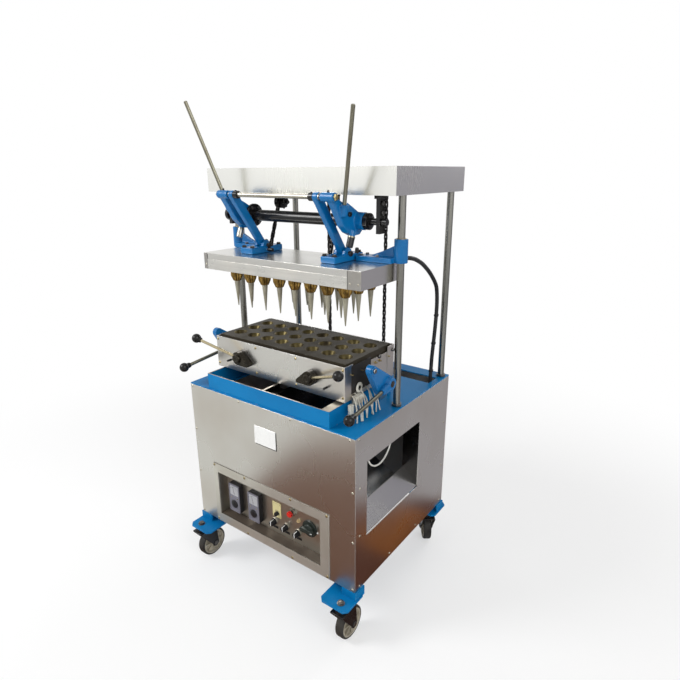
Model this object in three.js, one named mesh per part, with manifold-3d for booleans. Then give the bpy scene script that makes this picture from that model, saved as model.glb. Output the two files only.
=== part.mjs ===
import * as THREE from 'three';
import { mergeVertices } from 'three/addons/utils/BufferGeometryUtils.js';
import Module from 'manifold-3d';

// A floor-standing machine that bakes twenty-four pointed wafer cones at a time.
// Lengths are millimetres. X runs right along the front, depths run back from the
// front panel's face and heights run up from the floor.

const wasm = await Module();
wasm.setup();

// Fits shared by every piece
const gap = 0.3;
const runningGap = 0.5;
const overrun = 2;
const weld = 0.001;
// How far one block stands back inside the other it is joined to
const tuck = 0.5;
const fineSegments = 24;
const roundSegments = 18;
const plainSegments = 12;
const smallSegments = 8;
const coreSegments = 8;
const wheelSegments = 20;
const hexSegments = 6;

// Cabinet
const cabinet = { width: 660, depth: 556, bottom: 167, height: 495, sheet: 2 };
const halfWidth = cabinet.width / 2;
const cabinetTop = cabinet.bottom + cabinet.height;
const insideX = halfWidth - cabinet.sheet - gap;
const insideBack = cabinet.depth - cabinet.sheet - gap;
const insideFront = cabinet.sheet + gap;

// Base frame, its corner feet and the pads that carry the casters
const frame = { tube: 30, footWall: 5, footLength: 50, footReach: 45, footProud: 5, footDepthProud: 2 };
const pad = { thickness: 6, drop: 25, width: 97, length: 98, corner: 12, proud: 8 };
pad.frontProud = 56;
pad.backInset = 72;
pad.outer = halfWidth + pad.proud;
pad.inner = pad.outer - pad.width;
pad.frontStart = -pad.frontProud;
pad.backStart = cabinet.depth - pad.backInset;
pad.top = cabinet.bottom - pad.drop;
pad.bottom = pad.top - pad.thickness;

// Casters
// The rear right caster stands swivelled by this many degrees
const swivelled = 36;
const caster = { radius: 50, trail: 37, fromOuter: 34, fromFront: 24, stem: 7, disc: 23, race: 19 };
caster.x = pad.outer - caster.fromOuter;
caster.frontY = pad.frontStart + caster.fromFront;
caster.backY = pad.backStart + caster.fromFront;
const fork = { disc: 8, race: 10, bridge: 6, inner: 19, plate: 4, front: 23, back: 44, axle: 5 };
fork.tipFront = 14;
fork.tipBack = 14;
fork.tipBelow = 14;
fork.stemShort = 1.5;
fork.axleProud = 3;
const wheel = { halfHub: 17, hub: 15, web: 9, rimInner: 38, rim: 43, halfRim: 14, halfTread: 10, edge: 3 };

// Deck, its raised trough and the slot for the chains
const trough = { endInset: 87, front: 3, length: 318, rise: 50, wall: 3, endFlange: 28, flangeBack: 80 };
trough.halfX = halfWidth - trough.endInset;
trough.back = trough.front + trough.length;
const deck = { thickness: 4, ledge: 18, frontLedge: 11, slotInset: 21, slotWidth: 56, slotBackInset: 51 };
deck.holeHalfX = trough.halfX - deck.ledge;
deck.holeFront = trough.front + deck.frontLedge;
deck.holeBack = trough.back - trough.wall;
deck.slotHalfX = halfWidth - deck.slotInset;
deck.slotBack = cabinet.depth - deck.slotBackInset;
deck.slotFront = deck.slotBack - deck.slotWidth;
const deckUnder = cabinetTop - deck.thickness;
const troughTop = cabinetTop + trough.rise;
const panelTop = deckUnder - gap;

// Cone chute under the moulds and the outlet in the right side
const outlet = { front: 58, length: 299, rise: 163, height: 237 };
outlet.back = outlet.front + outlet.length;
outlet.bottom = cabinet.bottom + outlet.rise;
outlet.top = outlet.bottom + outlet.height;
const chute = {
  startX: 20, belowTop: 14, kneeInset: 52, kneeRise: 58, lipRise: 5, sheet: 3, backInset: 21,
};
chute.startZ = troughTop - chute.belowTop;
chute.kneeX = halfWidth - chute.kneeInset;
chute.kneeZ = outlet.bottom + chute.kneeRise;
chute.lipZ = outlet.bottom + chute.lipRise;
chute.front = deck.holeFront + overrun;
chute.back = trough.back - chute.backInset;
chute.sagShare = 0.42;
chute.bends = 8;
const cheek = { length: 58, sheet: 2 };
cheek.inner = halfWidth - cheek.length;
const divider = { x: -5, sheet: 3, depth: 70 };

// Control box sunk in the front panel
const box = { leftInset: 81, rightInset: 90, rise: 2, height: 224, sheet: 2, wall: 1.5, back: 35, lip: 2 };
box.left = box.leftInset - halfWidth;
box.right = halfWidth - box.rightInset;
box.bottom = cabinet.bottom + box.rise;
box.top = box.bottom + box.height;
box.rims = { left: 20, right: 33, bottom: 33, top: 31 };
box.holeLeft = box.left + box.rims.left;
box.holeRight = box.right - box.rims.right;
box.holeBottom = box.bottom + box.rims.bottom;
box.holeTop = box.top - box.rims.top;
box.panelGap = 1.5;
const boxPlateBack = box.back + box.sheet;
const controlFace = box.back - gap;
// A place along the recess, as a share of its width
const alongBox = share => box.holeLeft + share * (box.holeRight - box.holeLeft);
const controller = { width: 48, height: 104, proud: 20, up: 69, rearWidth: 42, rearHeight: 90 };
controller.alongShares = [0.1216, 0.328];
controller.z = box.holeBottom + controller.up;
controller.xs = controller.alongShares.map(alongBox);
controller.rearDepth = 40;
controller.windowInset = 5;
controller.windowDeep = 3;
controller.windowHeight = 36;
controller.dial = 15;
controller.dialDrop = 22;
controller.dialProud = 4;
const rotary = {
  alongShare: 0.8417, up: 78, radius: 28, plate: 4, grip: 16, gripLength: 52, gripWidth: 15, stem: 5,
};
rotary.x = alongBox(rotary.alongShare);
rotary.z = box.holeBottom + rotary.up;
const selector = {
  alongShares: [0.5023, 0.617, 0.7317], up: 40, radius: 11, length: 20, stem: 4, stemLength: 12,
};
selector.z = box.holeBottom + selector.up;
selector.xs = selector.alongShares.map(alongBox);
const dial = { alongShare: 0.5367, up: 77, radius: 6.5, length: 13, stem: 3, stemLength: 8 };
dial.x = alongBox(dial.alongShare);
dial.z = box.holeBottom + dial.up;
const button = { alongShare: 0.6881, up: 109, radius: 10, proud: 21, cap: 9, stem: 4, stemLength: 14 };
button.x = alongBox(button.alongShare);
button.z = box.holeBottom + button.up;
button.collar = 13;
button.collarProud = 9;

// Poles and canopy
const pole = { radius: 10.5, endInset: 18, frontY: 238, backInset: 27, nut: 16, nutHeight: 8 };
pole.x = halfWidth - pole.endInset;
pole.backY = cabinet.depth - pole.backInset;
const canopy = { endReach: 14, frontReach: 88, backInset: 8, clear: 599, height: 70, sheet: 3, rail: 6 };
canopy.front = pole.frontY - canopy.frontReach;
canopy.back = cabinet.depth - canopy.backInset;
canopy.bottom = cabinetTop + canopy.clear;
const canopyHalf = halfWidth + canopy.endReach;
const canopyTop = canopy.bottom + canopy.height;

// Lift shaft, its hangers, the cranks and the hand levers
const shaft = { fromPole: 52, drop: 68, tube: 16.5, disc: 34, discThick: 9, core: 14, flange: 22, stub: 9 };
shaft.y = pole.frontY - shaft.fromPole;
shaft.z = canopy.bottom - shaft.drop;
const hanger = { inset: 40, thickness: 11, width: 24, below: 30, padThickness: 9, padOut: 4 };
hanger.x = pole.x - hanger.inset;
hanger.bottom = shaft.z - hanger.below;
shaft.tubeInset = 95;
shaft.tubeHalf = hanger.x - shaft.tubeInset;
shaft.bossReach = 56;
shaft.bossOuter = shaft.tubeHalf + shaft.bossReach;
shaft.flangeThick = 14;
shaft.flangeOuter = shaft.bossOuter + shaft.flangeThick;
shaft.endProud = 16;
shaft.stubOuter = hanger.x + hanger.thickness + shaft.endProud;
shaft.endCollar = 20;
shaft.collarGap = 0.4;
shaft.endCollarInner = hanger.x + hanger.thickness + shaft.collarGap;
shaft.endCollarOuter = shaft.stubOuter - 2 * overrun;
const rails = { halfWidth: 24, halfWidthShaft: 7, sprocketInset: 110, halfWidthSprocket: 22 };
rails.shaftY = shaft.y;
rails.sprocketY = cabinet.depth - rails.sprocketInset;
const crankPin = { forward: 108, up: 65, radius: 6.5, knuckle: 12, knuckleBack: 6, knuckleLength: 42 };
crankPin.y = shaft.y - crankPin.forward;
crankPin.z = shaft.z + crankPin.up;
crankPin.knuckleInner = shaft.tubeHalf - crankPin.knuckleBack;
crankPin.knuckleOuter = crankPin.knuckleInner + crankPin.knuckleLength;
const crank = { plateThick: 22, boss: 23.5, discGap: 0.3, plateBack: 1.7 };
crank.bossInner = shaft.tubeHalf + shaft.discThick + crank.discGap;
crank.plateInner = crank.bossInner + crank.plateBack;
crank.plateOuter = crank.plateInner + crank.plateThick;
// Outline of the crank's plate as shares of the reach from the shaft to the crank pin, back and up
const crankOutlineShares = [
  [1, 1.06], [0.657, 0.785], [0.481, 0.77], [0.241, 0.57], [0.028, 0.377], [-0.185, 0.277], [-0.241, 0.046],
  [-0.213, -0.323], [-0.056, -0.554], [0.194, -0.585], [0.444, -0.415], [0.62, -0.154], [0.741, 0.154],
  [0.87, 0.477], [1.02, 0.846],
];
const lever = { out: 7.8, back: 31.3, below: 21.4, radius: 5.3, socket: 11, socketLength: 26, hole: 16 };
lever.x = crank.plateOuter + lever.out;
lever.y = crankPin.y + lever.back;
lever.z = crankPin.z - lever.below;
lever.clearance = 45;
lever.rightLength = 240;
lever.leftLength = 291;
lever.outShare = 0.2592;
lever.forwardShare = 0.2085;
lever.upShare = 0.943;
const stopRod = { forward: 26, down: 23, endForward: 43, endDown: 65, inset: 1, radius: 9 };
stopRod.x = crank.plateOuter - stopRod.inset;
stopRod.topY = shaft.y - stopRod.forward;
stopRod.topZ = shaft.z - stopRod.down;
stopRod.bottomY = shaft.y - stopRod.endForward;
stopRod.bottomZ = shaft.z - stopRod.endDown;

// Press cover, the slanted lift arms, their feet on the press and the bar that joins them
const press = { poleGap: 16, forward: 114, backward: 90, below: 229, height: 50, sheet: 2, plate: 20 };
press.halfX = pole.x - press.poleGap;
press.front = shaft.y - press.forward;
press.back = shaft.y + press.backward;
press.bottom = canopy.bottom - press.below;
const pressTop = press.bottom + press.height;
const arm = { gap: 8, thickness: 16, topEye: 12, footEye: 11.5, topBore: 6.9, footBore: 6.4 };
arm.outer = crankPin.knuckleInner - arm.gap;
arm.inner = arm.outer - arm.thickness;
const footPin = { backward: 2.5, up: 21, radius: 6 };
footPin.y = shaft.y + footPin.backward;
footPin.z = pressTop + footPin.up;
const foot = { beside: 17, forward: 68, length: 134, height: 19, ear: 17, earThick: 11 };
foot.inner = arm.inner - foot.beside;
foot.outer = arm.outer + foot.beside;
foot.front = shaft.y - foot.forward;
foot.back = foot.front + foot.length;
foot.pocketInset = 52;
foot.pocketLength = 36;
foot.pocketFront = foot.front + foot.pocketInset;
foot.pocketBack = foot.pocketFront + foot.pocketLength;
// Lug on the foot's inner side that the chain hooks on
foot.lug = 5;
foot.lugReach = 22;
foot.lugUp = 10;
foot.lugForward = 4;
foot.lugInner = foot.inner - foot.lugReach;
foot.lugY = shaft.y - foot.lugForward;
foot.lugZ = pressTop + foot.lugUp;
foot.pocketGap = 0.6;
foot.pinProud = 3;
const crossbar = { collar: 11, collarLength: 16 };
crossbar.half = crankPin.knuckleInner - 2 * tuck;
crossbar.collarInner = arm.inner - crossbar.collarLength;
crossbar.washerInner = arm.outer + 2 * gap;

// Cores under the press plate, and the sleeves that guide it
const cores = { pitchY: 62, columns: 8, rows: 3, reach: 117, collarReach: 37, flareReach: 20, tip: 1.6 };
cores.middleY = shaft.y;
cores.tipZ = press.bottom - cores.reach;
cores.collarZ = press.bottom - cores.collarReach;
cores.flareZ = press.bottom - cores.flareReach;
cores.root = 9;
cores.collarLow = 12;
cores.collar = 19;
const sleeve = { outer: 19, height: 65, base: 15, baseLength: 113, baseWidth: 47, behind: 14, inset: 12 };
sleeve.baseOuter = pole.x - sleeve.inset;
sleeve.baseInner = sleeve.baseOuter - sleeve.baseLength;
sleeve.baseBack = pole.frontY + sleeve.behind;
sleeve.baseFront = sleeve.baseBack - sleeve.baseWidth;
sleeve.web = 10;
sleeve.webInset = 13;
sleeve.webInner = sleeve.baseInner + sleeve.webInset;
sleeve.webTop = 58;
// Knees of the web's curved top edge, inward from the base's end and up
sleeve.knees = [[8, 45], [42, 29]].map(([inward, up]) => [sleeve.baseOuter - inward, up]);

// Moulds: four bars that part along the three rows of cavities
const mould = { overTrough: 4, forward: 112.5, backward: 112, clear: 62, height: 102, endMargin: 37 };
mould.halfX = trough.halfX + mould.overTrough;
mould.front = shaft.y - mould.forward;
mould.back = shaft.y + mould.backward;
mould.bottom = cabinetTop + mould.clear;
const mouldTop = mould.bottom + mould.height;
cores.pitchX = 2 * (mould.halfX - mould.endMargin) / (cores.columns - 1);
const cavity = { mouth: 21, throat: 15, throatDeep: 14, shoulder: 13, tip: 4.5, floor: 6 };
const housing = {
  endGap: 7, frontGap: 13.5, backGap: 16, drop: 4, sheet: 2, flangeFront: 38, flangeBack: 37,
};
housing.halfX = mould.halfX + housing.endGap;
housing.front = mould.front - housing.frontGap;
housing.back = mould.back + housing.backGap;
housing.bottom = mould.bottom - housing.drop;
housing.top = mouldTop - housing.drop;
housing.flangeFrontEnd = housing.front + housing.flangeFront;
housing.flangeBackEnd = housing.back - housing.flangeBack;
housing.lap = 4;
housing.sideX = mould.halfX + overrun;
housing.sideFront = housing.flangeFrontEnd - housing.lap;
housing.sideBack = housing.flangeBackEnd + housing.lap;
housing.sideLower = 16;
housing.sideTop = housing.top - housing.sideLower;
housing.rail = 24;
housing.railThick = 3.4;
housing.railInset = 54;
housing.railX = housing.halfX - housing.railInset;
housing.legWidth = 40;

// Side levers that part the moulds, on stub shafts
const sideLever = { back: 4, up: 25, boss: 22, hub: 20, hubLength: 29.4, bore: 9.4, stub: 9, plate: 17 };
sideLever.beside = 42.6;
sideLever.y = shaft.y + sideLever.back;
sideLever.z = mould.bottom + sideLever.up;
sideLever.inner = housing.halfX + sideLever.beside;
sideLever.outer = sideLever.inner + sideLever.hubLength;
sideLever.arm = { forward: 82, up: 63 };
sideLever.armY = sideLever.y - sideLever.arm.forward;
sideLever.armZ = sideLever.z + sideLever.arm.up;
sideLever.armEye = 14;
sideLever.rodRoot = { forward: 15, down: 6, inset: 8 };
sideLever.rodY = sideLever.y - sideLever.rodRoot.forward;
sideLever.rodZ = sideLever.z - sideLever.rodRoot.down;
sideLever.rodX = sideLever.outer - sideLever.rodRoot.inset;
sideLever.rod = 5.5;
sideLever.ball = 15;
sideLever.ballX = sideLever.outer;
sideLever.ballAway = { forward: 211.7, down: 27.8 };
sideLever.ballY = sideLever.y - sideLever.ballAway.forward;
sideLever.ballZ = sideLever.z - sideLever.ballAway.down;

// Front clamps, each a hub with a ball-ended rod through it
const clamp = { inset: 105.6, up: 47.7, hub: 17, hubLength: 28, stud: 5, studReach: 3.5, rod: 4.5 };
clamp.x = mould.halfX - clamp.inset;
clamp.z = mould.bottom + clamp.up;
clamp.hubFront = housing.front - clamp.hubLength;
clamp.rodDepth = housing.front - clamp.hubLength / 2;
clamp.ballAway = { out: 135.6, forward: 46.9, up: 51.7 };
clamp.ballX = clamp.x + clamp.ballAway.out;
clamp.ballY = clamp.rodDepth - clamp.ballAway.forward;
clamp.ballZ = clamp.z + clamp.ballAway.up;
clamp.ball = 14.5;
clamp.tail = 42;

// Chains, sprockets and counterweight
const chain = { fromFoot: 14, width: 8, thickness: 5, pitchRadius: 20, arcSteps: 6, slotHalf: 7 };
chain.x = foot.inner - chain.fromFoot;
const sprocket = { fromPole: 12, backInset: 98, below: 30, above: 28, radius: 17.2, thickness: 5, hub: 8 };
sprocket.frontY = pole.frontY + sprocket.fromPole;
sprocket.backY = cabinet.depth - sprocket.backInset;
sprocket.lowZ = canopy.bottom - sprocket.below;
sprocket.highZ = canopy.bottom + sprocket.above;
// Drum beside each front sprocket
sprocket.drum = 19;
sprocket.drumEnd = 24;
sprocket.hubHalf = 7.4;
sprocket.pin = 4;
sprocket.earOut = 17;
const frontSprocketZ = { left: sprocket.lowZ, right: sprocket.highZ };
sprocket.pinHalf = 13;
const ear = { inner: 8, outer: 12, halfWidth: 9, beyond: 10 };
const weight = { beyondChain: 109, forward: 22, depth: 44, rise: 38, height: 265 };
weight.halfX = chain.x + weight.beyondChain;
weight.front = sprocket.backY + chain.pitchRadius - weight.forward;
weight.back = weight.front + weight.depth;
weight.bottom = cabinet.bottom + weight.rise;

// Black conduit from the press plate down the rear right pole
const conduit = { radius: 6.3, halfSides: 4, steps: 30 };
const conduitRoute = [
  [262, 264, 1088.6], [281, 264, 1088.6], [299, 270, 1089.5], [309, 288, 1089.5], [312, 313, 1084],
  [312, 333, 1077],
  [312, 362, 1064], [312, 391, 1046], [312, 418, 1026], [312, 445, 1001], [312, 461, 981], [311, 470, 960],
  [311, 474, 930], [310, 476, 890], [308, 476, 840], [305, 476, 790], [302, 476, 740], [301, 476, 700],
  [300, 476, 662], [300, 476, 640],
];

// Finishes
const finish = (color, roughness, metalness) =>
  new THREE.MeshStandardMaterial({ color, roughness, metalness });
const bluePaint = finish(0x1878b8, 0.4, 0.1);
const stainless = finish(0xb9b7b4, 0.3, 1);
const brightSteel = finish(0x9a958c, 0.32, 1);
const coreSteel = finish(0x8f948a, 0.45, 0.9);
const castIron = finish(0x55504b, 0.7, 0.5);
const blackSteel = finish(0x17181a, 0.5, 0.4);
const blackPlastic = finish(0x111214, 0.45, 0);
const greyPlastic = finish(0xc9cacd, 0.5, 0);
const redPlastic = finish(0xd8241c, 0.4, 0);
const rubber = finish(0x1b1a19, 0.8, 0);

// Turn a closed geometry into a solid that can be cut and joined
function solidOf(geometry) {
  const bare = new THREE.BufferGeometry();
  bare.setAttribute('position', geometry.getAttribute('position').clone());
  if (geometry.index) {
    bare.setIndex(geometry.index.clone());
  }
  const welded = mergeVertices(bare, weld);
  const points = welded.getAttribute('position').array;
  const triangles = [];
  let volume = 0;
  for (let i = 0; i < welded.index.count; i += 3) {
    const [a, b, c] = [0, 1, 2].map(k => welded.index.getX(i + k));
    if (a === b || b === c || a === c) {
      continue;
    }
    const [p, q, r] = [a, b, c].map(k => new THREE.Vector3().fromArray(points, k * 3));
    volume += p.dot(q.cross(r));
    triangles.push([a, b, c]);
  }
  const wound = volume < 0 ? triangles.map(([a, b, c]) => [a, c, b]) : triangles;
  return new wasm.Manifold(new wasm.Mesh({
    numProp: 3, vertProperties: Float32Array.from(points), triVerts: Uint32Array.from(wound.flat()),
  }));
}

// Turn a solid back into a geometry with flat faces
function geometryOf(solid) {
  const mesh = solid.getMesh();
  const geometry = new THREE.BufferGeometry();
  geometry.setAttribute('position', new THREE.BufferAttribute(Float32Array.from(mesh.vertProperties), 3));
  geometry.setIndex(new THREE.BufferAttribute(Uint32Array.from(mesh.triVerts), 1));
  const flat = geometry.toNonIndexed();
  flat.computeVertexNormals();
  return flat;
}

const join = (first, ...others) => others.reduce((whole, piece) => whole.add(piece), first);
const cut = (body, ...tools) => tools.reduce((whole, tool) => whole.subtract(tool), body);

// A box between two values on each axis
function block([x0, x1], [y0, y1], [z0, z1]) {
  const geometry = new THREE.BoxGeometry(x1 - x0, y1 - y0, z1 - z0);
  geometry.translate((x0 + x1) / 2, (y0 + y1) / 2, (z0 + z1) / 2);
  return solidOf(geometry);
}

// A round bar between two points
function bar(from, to, radius, segments = plainSegments) {
  const [start, end] = [new THREE.Vector3(...from), new THREE.Vector3(...to)];
  const along = end.clone().sub(start);
  const geometry = new THREE.CylinderGeometry(radius, radius, along.length(), segments);
  geometry.applyQuaternion(new THREE.Quaternion().setFromUnitVectors(
    new THREE.Vector3(0, 1, 0), along.clone().normalize()));
  geometry.translate(...start.add(end).divideScalar(2));
  return solidOf(geometry);
}

const barX = (x0, x1, y, z, radius, segments) => bar([x0, y, z], [x1, y, z], radius, segments);
const barY = (y0, y1, x, z, radius, segments) => bar([x, y0, z], [x, y1, z], radius, segments);
const barZ = (z0, z1, x, y, radius, segments) => bar([x, y, z0], [x, y, z1], radius, segments);

// A surface turned about the Y axis from pairs of radius and height
function lathe(profile, segments = plainSegments) {
  return new THREE.LatheGeometry(profile.map(([r, h]) => new THREE.Vector2(r, h)), segments);
}

// An outline drawn in depth and height, pushed out along X
function prismX(outline, x0, x1) {
  const shape = new THREE.Shape(outline.map(([y, z]) => new THREE.Vector2(y, z)));
  const geometry = new THREE.ExtrudeGeometry(shape, { depth: x1 - x0, bevelEnabled: false });
  geometry.applyMatrix4(new THREE.Matrix4().makeBasis(
    new THREE.Vector3(0, 1, 0), new THREE.Vector3(0, 0, 1), new THREE.Vector3(1, 0, 0)));
  geometry.translate(x0, 0, 0);
  return solidOf(geometry);
}

// An outline drawn in X and depth, pushed up
function prismZ(outline, z0, z1) {
  const shape = new THREE.Shape(outline.map(([x, y]) => new THREE.Vector2(x, y)));
  const geometry = new THREE.ExtrudeGeometry(shape, { depth: z1 - z0, bevelEnabled: false });
  geometry.translate(0, 0, z0);
  return solidOf(geometry);
}

// An outline drawn in X and height, pushed out along the depth
function prismY(outline, y0, y1) {
  const shape = new THREE.Shape(outline.map(([x, z]) => new THREE.Vector2(x, z)));
  const geometry = new THREE.ExtrudeGeometry(shape, { depth: y1 - y0, bevelEnabled: false });
  geometry.applyMatrix4(new THREE.Matrix4().makeBasis(
    new THREE.Vector3(1, 0, 0), new THREE.Vector3(0, 0, 1), new THREE.Vector3(0, -1, 0)));
  geometry.translate(0, y1, 0);
  return solidOf(geometry);
}

// Points round part of a circle, in depth and height
function arc([y, z], radius, start, end, steps) {
  return Array.from({ length: steps + 1 }, (_, i) => {
    const angle = start + (end - start) * (i / steps);
    return [y + radius * Math.cos(angle), z + radius * Math.sin(angle)];
  });
}

// A flat link across X with a round eye at each end, given in depth and height
function link(a, b, radiusA, radiusB, x0, x1) {
  const heading = Math.atan2(b[1] - a[1], b[0] - a[0]);
  const quarter = Math.PI / 2;
  return prismX([
    ...arc(a, radiusA, heading + quarter, heading + 3 * quarter, smallSegments),
    ...arc(b, radiusB, heading - quarter, heading + quarter, smallSegments)], x0, x1);
}

const sides = { left: -1, right: 1 };
const across = (side, a, b) => (side > 0 ? [a, b] : [-b, -a]);

const machine = new THREE.Group();

function addPart(name, solid, material, parent = machine, place = [0, 0, 0]) {
  const mesh = new THREE.Mesh(geometryOf(solid), material);
  mesh.name = name;
  mesh.position.set(...place);
  parent.add(mesh);
}

// Base frame: a ring of square tube, four posts and a foot and pad at each corner
function baseFrame() {
  const ringTop = cabinet.bottom + frame.tube;
  const [reachX, reachFront, reachBack] = [insideX - tuck, insideFront + tuck, insideBack - tuck];
  let body = cut(
    block([-reachX, reachX], [reachFront, reachBack], [cabinet.bottom, ringTop]),
    block([frame.tube - reachX, reachX - frame.tube], [reachFront + frame.tube, reachBack - frame.tube],
      [cabinet.bottom - overrun, ringTop + overrun]));
  for (const side of Object.values(sides)) {
    for (const atFront of [true, false]) {
      const start = atFront ? pad.frontStart : pad.backStart;
      const end = start + pad.length;
      const postY = atFront
        ? [insideFront, insideFront + frame.tube]
        : [insideBack - frame.tube, insideBack];
      const faceY = atFront ? -frame.footDepthProud : cabinet.depth + frame.footDepthProud;
      const inward = atFront ? 1 : -1;
      const outer = halfWidth + frame.footProud;
      const [c, i, o] = [pad.corner, pad.inner, pad.outer];
      const padOutline = [
        [i + c, start], [o - c, start], [o, start + c], [o, end - c],
        [o - c, end], [i + c, end], [i, end - c],
        [i, start + c]];
      const footOutline = [
        [outer - frame.footLength, faceY], [outer, faceY], [outer, faceY + inward * frame.footReach],
        [outer - frame.footWall, faceY + inward * frame.footReach],
        [outer - frame.footWall, faceY + inward * frame.footWall],
        [outer - frame.footLength, faceY + inward * frame.footWall]];
      const placed = outline => outline.map(([x, y]) => [x * side, y]);
      body = join(body,
        block(across(side, insideX - frame.tube, insideX), postY, [pad.bottom + tuck, panelTop]),
        prismZ(placed(padOutline), pad.bottom, pad.top),
        prismZ(placed(footOutline), pad.bottom + tuck, cabinet.bottom - gap));
      body = cut(body, barZ(pad.bottom - overrun, pad.top + overrun, caster.x * side,
        start + caster.fromFront, caster.stem, plainSegments));
    }
  }
  addPart('base_frame', body, bluePaint);
}

// Cabinet sheets
function panels() {
  const z = [cabinet.bottom, panelTop];
  const hole = block(
    [box.holeLeft - box.wall - box.panelGap, box.holeRight + box.wall + box.panelGap],
    [-overrun, cabinet.sheet + overrun],
    [box.holeBottom - box.wall - box.panelGap, box.holeTop + box.wall + box.panelGap]);
  addPart('front_panel', cut(block([-halfWidth, halfWidth], [0, cabinet.sheet], z), hole), stainless);
  const window = block([insideX - overrun, halfWidth + overrun], [outlet.front, outlet.back],
    [outlet.bottom, outlet.top]);
  const rightSheet = block([halfWidth - cabinet.sheet, halfWidth], [insideFront, insideBack], z);
  addPart('right_panel', cut(rightSheet, window), stainless);
  const wrapBack = cabinet.depth - cabinet.sheet;
  addPart('back_wrap', prismZ([
    [-halfWidth, insideFront], [cabinet.sheet - halfWidth, insideFront],
    [cabinet.sheet - halfWidth, wrapBack],
    [halfWidth, wrapBack], [halfWidth, cabinet.depth], [-halfWidth, cabinet.depth]], ...z), stainless);
}

// Deck with the raised trough round the hole that the cones drop through
function topDeck() {
  const t = trough;
  const plate = cut(
    block([-halfWidth, halfWidth], [0, cabinet.depth], [deckUnder, cabinetTop]),
    block([-deck.holeHalfX, deck.holeHalfX], [deck.holeFront, deck.holeBack],
      [deckUnder - overrun, cabinetTop + overrun]),
    block([-deck.slotHalfX, deck.slotHalfX], [deck.slotFront, deck.slotBack],
      [deckUnder - overrun, cabinetTop + overrun]));
  const wall = cut(
    block([-t.halfX, t.halfX], [t.front, t.back], [deckUnder + tuck, troughTop]),
    block([t.wall - t.halfX, t.halfX - t.wall], [t.front + t.wall, t.back - t.wall],
      [deckUnder - overrun, troughTop + overrun]));
  const flange = block([t.halfX - t.endFlange, t.halfX - tuck], [t.front + tuck, t.flangeBack],
    [troughTop - t.wall, troughTop - tuck]);
  addPart('top_deck', join(plate, wall, flange), bluePaint);
}

// Curved slide from the trough to the outlet, the sloping lip and its cheeks
function coneChute() {
  const upper = [];
  for (let i = 0; i <= chute.bends; i += 1) {
    const t = i / chute.bends;
    const sag = chute.sagShare * Math.sin(Math.PI * t) * (chute.startZ - chute.kneeZ) / 2;
    upper.push([
      chute.startX + (chute.kneeX - chute.startX) * t,
      chute.startZ + (chute.kneeZ - chute.startZ) * t - sag]);
  }
  const thick = points => [...points, ...points.map(([x, z]) => [x, z - chute.sheet]).reverse()];
  const lip = [[chute.kneeX - chute.sheet, chute.kneeZ], [insideX - tuck, chute.lipZ]];
  const cheekAt = y => block([cheek.inner, insideX], [y, y + cheek.sheet], [outlet.bottom, outlet.top]);
  const rib = block([divider.x, divider.x + divider.sheet],
    [trough.front + trough.wall + gap, trough.front + trough.wall + divider.depth],
    [cabinetTop + gap, troughTop]);
  const tie = block([divider.x + tuck, chute.startX + chute.sheet],
    [chute.front + tuck, trough.front + trough.wall + divider.depth - tuck],
    [chute.startZ - chute.sheet, chute.startZ - tuck]);
  addPart('cone_chute', join(
    prismY(thick(upper), chute.front, chute.back),
    prismY(thick(lip), outlet.front - cheek.sheet + tuck, outlet.back + cheek.sheet - tuck),
    cheekAt(outlet.front - cheek.sheet), cheekAt(outlet.back), rib, tie), stainless);
}

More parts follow.
